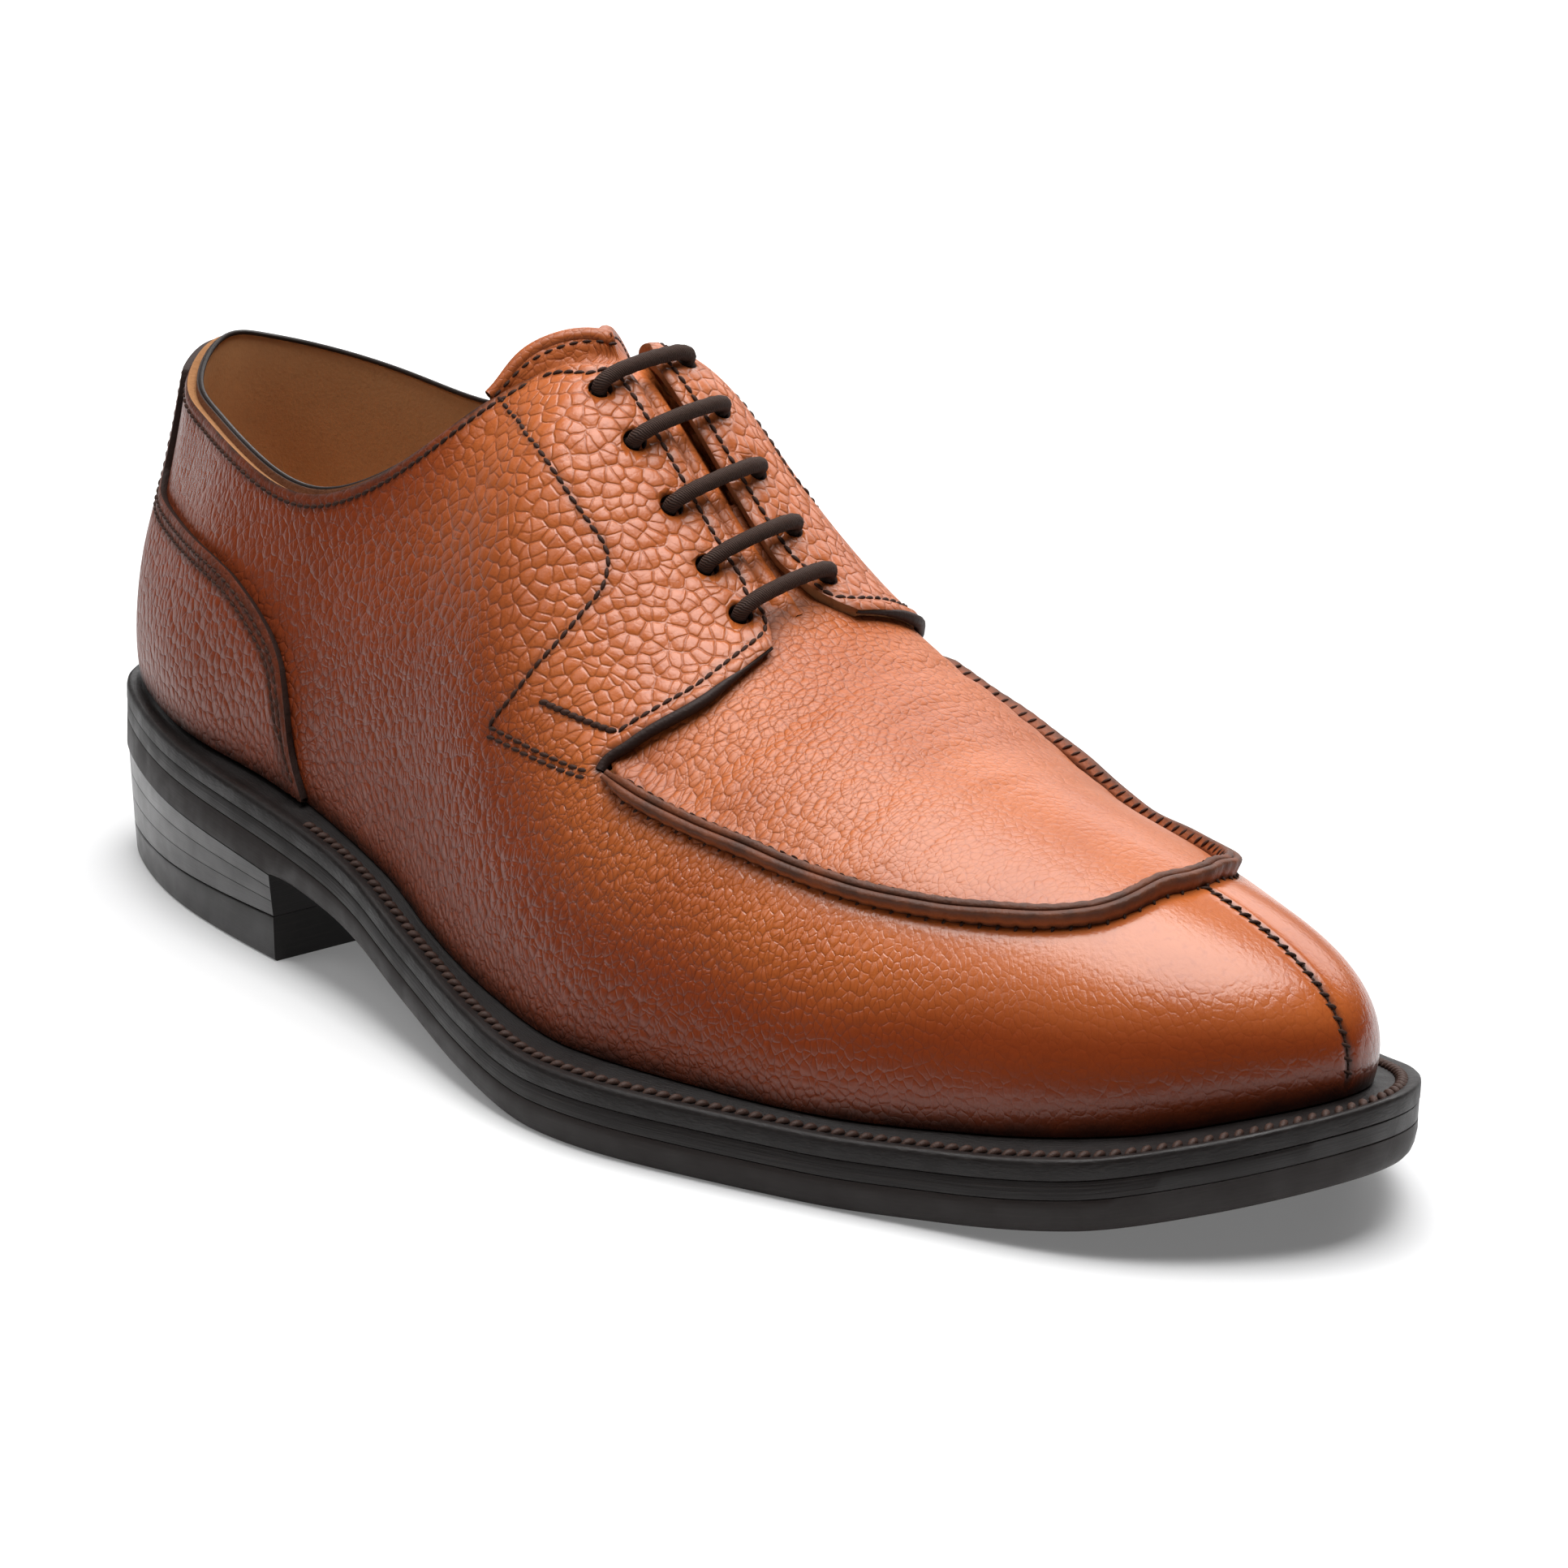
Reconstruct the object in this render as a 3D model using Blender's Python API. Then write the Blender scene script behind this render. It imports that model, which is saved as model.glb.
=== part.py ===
"""Right derby shoe with a raised apron and a split toe, standing empty on its sole.

Sizes are in millimetres in the tables and become metres when a mesh is made. X runs from heel to
toe, Y towards the inner side of the foot and Z up. One table of sections drives the whole shoe:
the rows go once round the foot, from the back of the heel along the outer side to the toe and home
along the inner side, and every piece is cut from the surface that the rows give.
"""

import bmesh
import bpy
import numpy as np
from mathutils import Vector

MM = 0.001

# Upper: wall, tab and throat.
WALL = 2.2
TAB_STEP = 1.8
TAB_WALL = 1.0
HALF_GAP = 2.8
TAB_ROUND = 7.0
TAB_CORNER_T = 0.46
CLEAR = 0.3

# Eyelets: the rows they sit on, how far from the middle of the throat, and their radius. The lace
# runs at a depth under the facings, lies against their underside beside the holes, and rises in a
# low arch over the throat.
EYELET_ROWS = (7.25, 7.65, 8.05, 8.45, 8.83)
EYELET_OUT = 10.0
EYELET_R = 2.1
LACE_R = 1.4
LACE_DEPTH = 4.9
LACE_ASIDE = 5.0
LACE_IN_HOLE = (-3.2, 0.8)
LACE_LIFT = 2.3
LACE_ARCH = 2.4

# Tongue: half width, depth of its face under the facings, thickness, how far it stands out above
# them, and how many rows its top reaches round the collar. TONGUE_LIPS gives the share of the
# stand and the depth of the rows at the top.
TONGUE_HALF = 21.0
TONGUE_DEPTH = -6.7
TONGUE_T = 2.4
TONGUE_TOP = 6.0
TONGUE_WIDE = 0.9
TONGUE_ROWS = (9.05, 8.65, 8.25, 7.85, 7.45, 7.17)
TONGUE_LIPS = ((0.0, -4.8), (0.5, -4.2), (1.0, -4.2))
TONGUE_RISE = np.array((-0.8, 0.0, 0.6))

# Sole layers, measured down from the lip of the welt.
WELT_T = 3.4
MIDSOLE_TOP = 3.7
MIDSOLE_BOTTOM = 6.5
OUTSOLE_TOP = 6.8
OUTSOLE_BOTTOM = 12.2
HEEL_BREAST = 84.0
TOP_PIECE_BACK = 5.2
TOP_PIECE_FRONT = 8.4
FEATHER_RISE = 0.9
INSOLE_T = 2.2
INSOLE_IN = 3.0

# Edge of the welt, from its underside to its top: inset and height against the lip.
WELT_EDGE = ((0.5, -WELT_T), (0.0, -WELT_T + 0.6), (0.0, -0.7), (0.6, 0.0))
WELT_UNDER = 7.0

# Overlays: thickness of the heel counter, and the profile of the apron seam as (across, height).
COUNTER_T = 1.4
SEAM_PROFILE = ((-1.7, 0.7), (-1.5, 2.3), (-0.9, 2.9), (0.9, 2.9), (1.5, 2.3), (1.7, 0.7))

# Rows round the foot: the lip of the welt, the feather line where the upper meets it, the top of
# the section, and the shape of the section between them.
COLUMNS = ("lip_x", "lip_y", "feather_x", "feather_y", "top_x", "top_y", "top_z",
           "bulge", "rise", "reach", "fall", "slope")
SECTIONS = (
    ("heel_back", 0.8, 8.0, 4.3, 8.0, 10.0, 7.5, 97.6, 4.0, 0.33, 0.25, 0.33, 0.0),
    ("back_outer", 6.0, -8.5, 9.8, -6.5, 19.5, -6.3, 92.4, 4.0, 0.33, 0.25, 0.33, 0.0),
    ("quarter_outer", 20.5, -20.0, 23.5, -16.3, 31.9, -12.2, 88.8, 4.0, 0.33, 0.28, 0.33, 0.0),
    ("heel_outer", 45.0, -30.5, 46.0, -25.0, 51.6, -19.7, 85.9, 4.0, 0.33, 0.30, 0.33, 0.0),
    ("breast_outer", 75.0, -37.0, 75.0, -29.5, 76.9, -24.7, 83.5, 3.5, 0.35, 0.30, 0.33, 0.0),
    ("waist_outer", 104.0, -41.5, 103.0, -35.5, 100.3, -24.2, 92.7, 2.5, 0.40, 0.36, 0.28, -0.3),
    ("corner_outer", 122.0, -46.0, 119.5, -39.0, 117.5, -17.5, 106.8, 2.5, 0.44, 0.46, 0.18, -0.6),
    ("facing_outer", 140.0, -51.0, 135.5, -43.8, 132.0, 0.0, 116.0, 3.0, 0.50, 0.55, -0.01, -0.87),
    ("middle_outer", 163.0, -57.5, 157.0, -49.0, 154.0, 0.0, 98.4, 3.5, 0.50, 0.55, 0.04, -0.86),
    ("tab_outer", 186.0, -59.6, 179.5, -51.3, 176.0, 0.0, 79.5, 3.5, 0.53, 0.55, 0.08, -0.70),
    ("ball_outer", 208.0, -55.0, 202.0, -48.5, 197.0, 1.5, 69.4, 4.0, 0.53, 0.55, 0.04, -0.40),
    ("vamp_outer", 230.0, -48.0, 223.0, -44.0, 215.0, 3.0, 62.0, 4.5, 0.52, 0.50, 0.0, -0.32),
    ("front_outer", 252.0, -40.0, 244.0, -34.8, 229.0, 4.5, 57.6, 5.0, 0.52, 0.50, 0.0, -0.28),
    ("toe_outer", 272.0, -31.5, 263.5, -24.5, 239.0, 6.0, 55.0, 5.5, 0.55, 0.50, 0.0, -0.26),
    ("tip_outer", 289.0, -15.5, 280.0, -10.0, 246.0, 7.0, 53.3, 5.0, 0.60, 0.50, 0.0, -0.26),
    ("toe_tip", 298.5, 7.0, 290.5, 8.0, 250.0, 8.0, 52.3, 4.0, 0.60, 0.50, 0.0, -0.26),
    ("tip_inner", 292.5, 25.0, 284.5, 23.0, 246.0, 7.0, 53.3, 5.0, 0.60, 0.50, 0.0, -0.26),
    ("toe_inner", 280.0, 38.0, 272.5, 33.0, 239.0, 6.0, 55.0, 5.5, 0.55, 0.50, 0.0, -0.26),
    ("front_inner", 260.0, 49.0, 254.0, 43.0, 229.0, 4.5, 57.6, 5.0, 0.52, 0.50, 0.0, -0.28),
    ("vamp_inner", 235.0, 54.0, 230.5, 47.8, 215.0, 3.0, 62.0, 4.5, 0.52, 0.50, 0.0, -0.32),
    ("ball_inner", 210.0, 54.5, 206.5, 48.0, 197.0, 1.5, 69.4, 4.0, 0.60, 0.66, -0.045, -0.40),
    ("tab_inner", 184.0, 48.5, 181.5, 42.5, 176.0, 0.0, 79.5, 4.0, 0.66, 0.74, -0.12, -0.70),
    ("middle_inner", 159.0, 39.5, 157.0, 35.0, 154.0, 0.0, 98.4, 4.0, 0.72, 0.80, -0.09, -0.86),
    ("facing_inner", 136.0, 33.0, 134.5, 29.5, 132.0, 0.0, 116.0, 4.0, 0.74, 0.82, -0.05, -0.87),
    ("corner_inner", 119.0, 31.0, 118.0, 28.0, 117.5, 18.5, 107.5, 4.0, 0.52, 0.62, 0.12, -0.6),
    ("waist_inner", 102.0, 31.5, 101.0, 28.5, 98.0, 23.3, 98.5, 3.5, 0.40, 0.40, 0.28, -0.3),
    ("breast_inner", 75.0, 36.5, 74.0, 31.6, 75.0, 26.0, 93.2, 3.5, 0.35, 0.30, 0.33, 0.0),
    ("heel_inner", 45.0, 38.0, 45.0, 32.8, 48.2, 27.9, 94.3, 4.0, 0.33, 0.30, 0.33, 0.0),
    ("quarter_inner", 18.5, 33.0, 21.3, 29.0, 26.1, 25.2, 96.2, 4.0, 0.33, 0.28, 0.33, 0.0),
    ("back_inner", 5.0, 22.5, 8.6, 20.5, 13.1, 19.0, 97.4, 4.0, 0.33, 0.25, 0.33, 0.0),
)
ROWS = len(SECTIONS)
TIP = 15.0
FACING = 7.0
TAB = 9.0

# Height of the welt's lip along the foot: heel seat, arch, flat tread and toe spring.
LIP_HEIGHT = ((-5.0, 34.9), (0.0, 34.6), (38.0, 32.4), (75.0, 30.0), (100.0, 27.2), (115.0, 24.4),
              (135.0, 19.0), (155.0, 14.9), (178.0, 12.2), (228.0, 12.2), (250.0, 13.4),
              (270.0, 16.0), (285.0, 20.0), (299.0, 24.6), (304.0, 26.4))

# Slant of the tab's front edge: height on the section, rows that the edge moves towards the toe.
TAB_SLANT = ((0.0, 0.0), (0.46, -0.32), (0.53, -0.2), (0.72, 0.1), (0.88, 0.16), (0.97, 0.0), (1.0, 0.0))
SLANT_ROWS = 1.5

# Height on the section of the raised apron seam, from the tab to the toe tip, outer and inner side.
APRON_SEAM = ((8.65, 0.452, 0.45), (9.7, 0.474, 0.475), (10.9, 0.494, 0.512), (12.0, 0.54, 0.57),
              (13.0, 0.615, 0.68), (14.0, 0.78, 0.80), (15.0, 0.88, 0.88))

# Upper edge of the heel counter from the back strap outwards: row, height on the section.
COUNTER_EDGE = ((0.0, 0.985), (0.62, 0.985), (0.82, 0.80), (1.0, 0.69), (1.3, 0.648), (2.0, 0.645),
                (3.0, 0.648), (3.3, 0.64), (3.6, 0.60), (3.9, 0.52), (4.1, 0.42), (4.22, 0.29),
                (4.32, 0.12), (4.42, 0.02))

# Finishes: linear colour and roughness of each material, and the material of each piece.
FINISHES = {
    "tan_grain_leather": ((0.42, 0.13, 0.035), 0.38),
    "burnished_edge": ((0.20, 0.07, 0.03), 0.45),
    "waxed_welt_leather": ((0.04, 0.027, 0.022), 0.5),
    "black_heel_leather": ((0.02, 0.018, 0.018), 0.4),
    "dark_rubber": ((0.028, 0.024, 0.023), 0.75),
    "natural_lining_leather": ((0.5, 0.27, 0.12), 0.7),
    "waxed_lace_cotton": ((0.05, 0.03, 0.022), 0.7),
}
PIECE_FINISH = {
    "upper": "tan_grain_leather",
    "heel_counter": "tan_grain_leather",
    "tongue": "tan_grain_leather",
    "apron_seam": "burnished_edge",
    "welt": "waxed_welt_leather",
    "midsole": "black_heel_leather",
    "heel_stack": "black_heel_leather",
    "outsole": "dark_rubber",
    "heel_top_piece": "dark_rubber",
    "insole": "natural_lining_leather",
    "lace": "waxed_lace_cotton",
}
SHARP_ANGLE = np.radians(40)


def smooth_table(table, x):
    """Value at x of a table of (x, value) pairs, smooth and without overshoot."""
    xs, ys = np.array(table, float)[:, :2].T
    step = np.diff(xs)
    rate = np.diff(ys) / step
    slope = np.zeros(len(xs))
    same = rate[1:] * rate[:-1] > 0
    slope[1:-1][same] = 2 * rate[1:][same] * rate[:-1][same] / (rate[1:] + rate[:-1])[same]
    slope[0], slope[-1] = rate[0], rate[-1]
    x = np.clip(np.asarray(x, float), xs[0], xs[-1])
    i = np.clip(np.searchsorted(xs, x) - 1, 0, len(step) - 1)
    h = step[i]
    w = (x - xs[i]) / h
    return (ys[i] * (1 + 2 * w) * (1 - w) ** 2 + slope[i] * h * w * (1 - w) ** 2
            + ys[i + 1] * w * w * (3 - 2 * w) + slope[i + 1] * h * w * w * (w - 1))


def loop_spline(values):
    """Second differences of a smooth closed curve through one value a row."""
    n = len(values)
    matrix = 4 * np.eye(n) + np.roll(np.eye(n), 1, 0) + np.roll(np.eye(n), -1, 0)
    return np.linalg.solve(matrix, 6 * (np.roll(values, -1) - 2 * values + np.roll(values, 1)))


ROW_VALUES = {name: np.array([row[i + 1] for row in SECTIONS]) for i, name in enumerate(COLUMNS)}
ROW_BENDS = {name: loop_spline(values) for name, values in ROW_VALUES.items()}


def column(name, u):
    """One column of the sections table at row u, which may lie between two rows."""
    i = int(np.floor(u))
    w = u - i
    a, b = i % ROWS, (i + 1) % ROWS
    values, bends = ROW_VALUES[name], ROW_BENDS[name]
    return ((1 - w) * values[a] + w * values[b]
            + ((1 - w) ** 3 - (1 - w)) * bends[a] / 6 + (w ** 3 - w) * bends[b] / 6)


def shared(name, u):
    """A top column, made the same on both sides of the foot from the facings forwards."""
    u = u % ROWS
    if FACING <= u <= ROWS - FACING:
        return (column(name, u) + column(name, ROWS - u)) / 2
    return column(name, u)


def lip_height(x):
    return smooth_table(LIP_HEIGHT, x)


def plan_normal(name, u):
    """Outward direction in plan of the lip or the feather line at row u."""
    e = 0.02
    dx = column(name + "_x", u + e) - column(name + "_x", u - e)
    dy = column(name + "_y", u + e) - column(name + "_y", u - e)
    return np.array((dy, -dx)) / np.hypot(dx, dy)


def frame_points(u):
    """The four control points of the section at row u."""
    fx, fy = column("feather_x", u), column("feather_y", u)
    foot = np.array((fx, fy, lip_height(fx) + FEATHER_RISE))
    top = np.array((shared("top_x", u), shared("top_y", u), shared("top_z", u)))
    tall = top[2] - foot[2]
    out = plan_normal("feather", u) * column("bulge", u)
    side = foot + np.array((out[0], out[1], column("rise", u) * tall))
    over = top + column("reach", u) * (foot - top)
    over[2] = top[2] + column("slope", u) * (over[0] - top[0]) - column("fall", u) * tall
    return foot, side, over, top


def section(u, t):
    """Point of the outer surface: row u round the foot, t from the feather line to the top."""
    foot, side, over, top = frame_points(u)
    s = 1 - t
    return s ** 3 * foot + 3 * s * s * t * side + 3 * s * t * t * over + t ** 3 * top


def is_front(u):
    return TAB <= u % ROWS <= ROWS - TAB


def normal(u, t):
    """Outward normal of the outer surface."""
    if is_front(u) and t > 0.999:
        n = np.array((-column("slope", u), 0.0, 1.0))
        return n / np.linalg.norm(n)
    e = 0.01
    lo, hi = max(t - e, 0.0), min(t + e, 0.998)
    along = section(u + e, t) - section(u - e, t)
    n = np.cross(along, section(u, hi) - section(u, lo))
    return n / np.linalg.norm(n)


def offset(u, t, depth):
    return section(u, t) + depth * normal(u, t)


def from_heel(u):
    """Rows between u and the back of the heel, on either side."""
    u = u % ROWS
    return min(u, ROWS - u)


def throat_gap(u):
    """How far the edge of the facing stands from the middle of the throat."""
    r = from_heel(u)
    return HALF_GAP * np.clip(r - FACING + 1, 0, 1) + TAB_ROUND * np.clip((r - 8.6) / 0.4, 0, 1) ** 2


def height_at(u, out):
    """Height on the section where it lies this far sideways from its top."""
    if out <= 0:
        return 1.0
    low, high = 0.3, 1.0
    top_y = section(u, 1.0)[1]
    for _ in range(40):
        mid = (low + high) / 2
        if abs(section(u, mid)[1] - top_y) > out:
            low = mid
        else:
            high = mid
    return high


TAB_TOP_T = height_at(TAB, throat_gap(TAB))


def edge_height(u):
    """Height on the section of the collar or facing edge; in front, of the tab's upper corner."""
    if is_front(u):
        return TAB_TOP_T
    return height_at(u, throat_gap(u))


def slanted(u, t):
    """Row at height t of the column that stands at row u, leaned with the tab's front edge."""
    near = np.clip(1 - abs(from_heel(u) - TAB) / SLANT_ROWS, 0, 1)
    lean = float(smooth_table(TAB_SLANT, t)) * near * near * (3 - 2 * near)
    return u + lean if u % ROWS < TIP else u - lean


def tab_ramp(t):
    return np.clip((t - TAB_CORNER_T) / 0.06, 0, 1)


def sunk(u, t):
    """Depth of the apron under the facing tabs, fading towards the toe."""
    fade = np.clip(1 - (from_heel(u) - TAB) / 2.6, 0, 1)
    return -TAB_STEP * tab_ramp(t) * fade * fade * (3 - 2 * fade)


def wall_depth(u, t):
    """Depth of the inner face, a little more under the tabs where two skins lie together."""
    hump = np.clip(1 - abs(from_heel(u) - TAB) / 1.2, 0, 1)
    return -WALL - TAB_WALL * tab_ramp(t) * hump


def centre():
    us = np.linspace(0, ROWS, 1200)
    xs = [column("lip_x", u) for u in us]
    ys = [column("lip_y", u) for u in us]
    return (min(xs) + max(xs)) / 2, (min(ys) + max(ys)) / 2


MID_X, MID_Y = centre()


def metres(p):
    return Vector(((p[0] - MID_X) * MM, (p[1] - MID_Y) * MM, p[2] * MM))


def group(name):
    """The collection of that name, made where it is missing."""
    found = bpy.data.collections.get(name)
    if found is None:
        found = bpy.data.collections.new(name)
        bpy.context.scene.collection.children.link(found)
    return found


def finish(name):
    """The material of that name with its colour and roughness."""
    found = bpy.data.materials.get(name)
    if found is None:
        colour, roughness = FINISHES[name]
        found = bpy.data.materials.new(name)
        found.use_nodes = True
        shader = found.node_tree.nodes["Principled BSDF"]
        shader.inputs["Base Color"].default_value = (*colour, 1.0)
        shader.inputs["Roughness"].default_value = roughness
        shader.inputs["Metallic"].default_value = 0.0
    return found


def add_piece(name, data):
    """Puts a finished mesh or curve into the shoe, with its material."""
    thing = bpy.data.objects.new(name, data)
    data.materials.append(finish(PIECE_FINISH[name]))
    group("derby_shoe").objects.link(thing)
    return thing


class Mesh:
    """Collects points and faces, joins points that coincide and drops faces that collapse."""

    def __init__(self):
        self.points = []
        self.known = {}
        self.faces = []

    def point(self, p):
        key = tuple(np.round(np.asarray(p, float), 3))
        if key not in self.known:
            self.known[key] = len(self.points)
            self.points.append(p)
        return self.known[key]

    def face(self, *corners):
        ids = []
        for p in corners:
            i = self.point(p)
            if i not in ids:
                ids.append(i)
        if len(ids) > 2:
            self.faces.append(ids)

    def data(self, name):
        data = bpy.data.meshes.new(name)
        data.from_pydata([metres(p) for p in self.points], [], self.faces)
        bm = bmesh.new()
        bm.from_mesh(data)
        bmesh.ops.triangulate(bm, faces=bm.faces)
        bmesh.ops.recalc_face_normals(bm, faces=bm.faces)
        bm.to_mesh(data)
        bm.free()
        data.shade_smooth()
        data.set_sharp_from_angle(angle=SHARP_ANGLE)
        return data

    def make(self, name):
        return add_piece(name, self.data(name))


def grid_solid(mesh, outer, inner):
    """Closes two matching open grids of points into one solid."""
    rows, cols = len(outer), len(outer[0])
    for i in range(rows - 1):
        for k in range(cols - 1):
            mesh.face(outer[i][k], outer[i + 1][k], outer[i + 1][k + 1], outer[i][k + 1])
            mesh.face(inner[i][k], inner[i][k + 1], inner[i + 1][k + 1], inner[i + 1][k])
        mesh.face(outer[i][0], inner[i][0], inner[i + 1][0], outer[i + 1][0])
        mesh.face(outer[i][-1], outer[i + 1][-1], inner[i + 1][-1], inner[i][-1])
    for k in range(cols - 1):
        mesh.face(outer[0][k], outer[0][k + 1], inner[0][k + 1], inner[0][k])
        mesh.face(outer[-1][k], inner[-1][k], inner[-1][k + 1], outer[-1][k + 1])


def upper():
    """The whole upper as one hollow wall, open at the collar, the throat and underneath."""
    levels, extra = 12, 4
    rear = np.concatenate((np.arange(ROWS - TAB, ROWS - 8, 0.25), np.arange(ROWS - 8, ROWS, 0.5),
                           np.arange(0, 8, 0.5), np.arange(8, TAB + 0.01, 0.25)))
    front = np.arange(TAB, ROWS - TAB + 0.01, 0.5)

    def heights(u, full):
        edge = edge_height(u)
        ts = list(np.linspace(0, edge, levels + 1))
        if full:
            ts += list(np.linspace(edge, 1, extra + 1)[1:])
        return ts

    columns = []
    for u in rear:
        ts = heights(u % ROWS, False)
        outer = [section(slanted(u % ROWS, t), t) for t in ts]
        inner = [offset(slanted(u % ROWS, t), t, wall_depth(u, t)) for t in ts]
        columns.append((outer, inner, False))
    for u in front:
        ts = heights(u, True)
        outer = [offset(slanted(u, t), t, sunk(u, t)) for t in ts]
        inner = [offset(slanted(u, t), t, wall_depth(u, t)) for t in ts]
        columns.append((outer, inner, True))

    mesh = Mesh()
    for a, b in zip(columns, columns[1:] + columns[:1]):
        both = a[2] and b[2]
        count = len(a[0]) - 1 if both else levels
        for k in range(count):
            mesh.face(a[0][k], b[0][k], b[0][k + 1], a[0][k + 1])
            mesh.face(a[1][k], a[1][k + 1], b[1][k + 1], b[1][k])
        mesh.face(a[0][0], a[1][0], b[1][0], b[0][0])
        if not both:
            mesh.face(a[0][levels], b[0][levels], b[1][levels], a[1][levels])
    for edge, turn in ((columns[len(rear)], 1), (columns[-1], -1)):
        for k in range(levels, levels + extra):
            quad = (edge[0][k], edge[1][k], edge[1][k + 1], edge[0][k + 1])
            mesh.face(*quad[::turn])
    thing = mesh.make("upper")

    cutter = Mesh()
    for u in eyelet_rows():
        middle, axis = eyelet(u)
        ring(cutter, middle - 7 * axis, middle + 7 * axis, EYELET_R, 12)
    holes = bpy.data.objects.new("eyelet_cutter", cutter.data("eyelet_cutter"))
    group("cutters").objects.link(holes)
    holes.hide_render = True
    holes.display_type = "WIRE"
    cut = thing.modifiers.new("eyelets", "BOOLEAN")
    cut.operation = "DIFFERENCE"
    cut.solver = "EXACT"
    cut.object = holes
    return thing


def eyelet_rows():
    return list(EYELET_ROWS) + [ROWS - u for u in EYELET_ROWS]


def eyelet(u):
    """Centre of an eyelet on the outer surface and the direction out through it."""
    t = height_at(u, EYELET_OUT)
    return section(u, t), normal(u, t)


def ring(mesh, a, b, radius, sides):
    """Adds a closed cylinder from a to b."""
    axis = (b - a) / np.linalg.norm(b - a)
    x = np.cross(axis, (1.0, 0.0, 0.0))
    x /= np.linalg.norm(x)
    y = np.cross(axis, x)
    turn = np.arange(sides) * 2 * np.pi / sides
    low = [a + radius * (np.cos(q) * x + np.sin(q) * y) for q in turn]
    high = [p + b - a for p in low]
    for i in range(sides):
        j = (i + 1) % sides
        mesh.face(low[i], low[j], high[j], high[i])
    mesh.face(*low[::-1])
    mesh.face(*high)


def outline(name, inset, stations, stop=None):
    """Closed outline of the lip or the feather line, moved in, as points from end to end.

    The outer and the inner side share their stations along X, so that strips across are level.
    """
    us = np.linspace(0, ROWS, 1201)
    loop = np.array([np.array((column(name + "_x", u), column(name + "_y", u)))
                     - inset * plan_normal(name, u) for u in us])
    back = int(np.argmin(np.where(us < 3, loop[:, 0], np.where(us > 27, loop[:, 0], 1e9))))
    loop = np.roll(loop[:-1], -(back % 1200), axis=0)
    front = int(np.argmax(loop[:, 0]))
    outer = loop[:front + 1]
    inner = np.vstack((loop[front:], loop[:1]))[::-1]
    x0, x1 = loop[0, 0], loop[front, 0] if stop is None else stop
    xs = x0 + (x1 - x0) * np.asarray(stations)
    side_a = np.column_stack((xs, np.interp(xs, np.maximum.accumulate(outer[:, 0]), outer[:, 1])))
    side_b = np.column_stack((xs, np.interp(xs, np.maximum.accumulate(inner[:, 0]), inner[:, 1])))
    return side_a, side_b


def plate(name, line, levels, stations, stop=None):
    """A solid plate: levels are (inset, function of x giving z), from the underside to the top."""
    mesh = Mesh()
    loops = []
    for inset, height in levels:
        a, b = outline(line, inset, stations, stop)
        high = [float(height(x)) for x in a[:, 0]]
        a = [np.array((p[0], p[1], z)) for p, z in zip(a, high)]
        b = [np.array((p[0], p[1], z)) for p, z in zip(b, high)]
        loops.append((a, b))
    for (a, b), (c, d) in zip(loops, loops[1:]):
        for i in range(len(a) - 1):
            mesh.face(a[i], a[i + 1], c[i + 1], c[i])
            mesh.face(b[i + 1], b[i], d[i], d[i + 1])
        mesh.face(a[-1], b[-1], d[-1], c[-1])
    low, high = loops[0], loops[-1]
    for i in range(len(low[0]) - 1):
        mesh.face(low[0][i], low[1][i], low[1][i + 1], low[0][i + 1])
        mesh.face(high[0][i], high[0][i + 1], high[1][i + 1], high[1][i])
    return mesh.make(name)


def round_ends(count, end=0.1, turns=8):
    """Stations from 0 to 1, close together in the rounded ends and even between them."""
    back = end * (1 - np.cos(np.linspace(0, np.pi / 2, turns)))
    middle = np.linspace(end, 1 - end, count - 2 * turns + 2)[1:-1]
    return np.concatenate((back, middle, 1 - back[::-1]))


def round_back(count):
    """Stations from 0 to 1, close together at the start only."""
    return 1 - np.cos(np.linspace(0, np.pi / 2, count))


def below_lip(depth):
    return lambda x: lip_height(x) - depth


def level(z):
    return lambda x: z


def lift_line(rise):
    """The joint between the heel stack and its top piece, which is thinner at the back."""
    return lambda x: TOP_PIECE_BACK + (TOP_PIECE_FRONT - TOP_PIECE_BACK) * x / HEEL_BREAST + rise


def sole():
    """Outsole, midsole, heel stack and top piece, each a plate with its own edge."""
    stations = round_ends(40)
    plate("outsole", "lip",
          ((0.8, below_lip(OUTSOLE_BOTTOM)), (0.2, below_lip(OUTSOLE_BOTTOM - 0.7)),
           (0.0, below_lip(OUTSOLE_TOP + 0.5)), (0.5, below_lip(OUTSOLE_TOP))), stations)
    plate("midsole", "lip",
          ((0.5, below_lip(MIDSOLE_BOTTOM)), (0.1, below_lip(MIDSOLE_BOTTOM - 0.6)),
           (0.1, below_lip(MIDSOLE_TOP + 0.6)), (0.5, below_lip(MIDSOLE_TOP))), stations)
    heel = round_back(16)
    seat = below_lip(OUTSOLE_BOTTOM + CLEAR)
    plate("heel_stack", "lip",
          ((2.0, lift_line(CLEAR)), (1.4, lift_line(CLEAR + 0.5)),
           (0.6, below_lip(OUTSOLE_BOTTOM + CLEAR + 0.5)), (1.0, seat)), heel, HEEL_BREAST)
    plate("heel_top_piece", "lip",
          ((2.4, level(0.0)), (1.9, level(0.7)), (1.5, lift_line(-0.5)),
           (1.9, lift_line(0.0))), heel, HEEL_BREAST)


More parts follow.
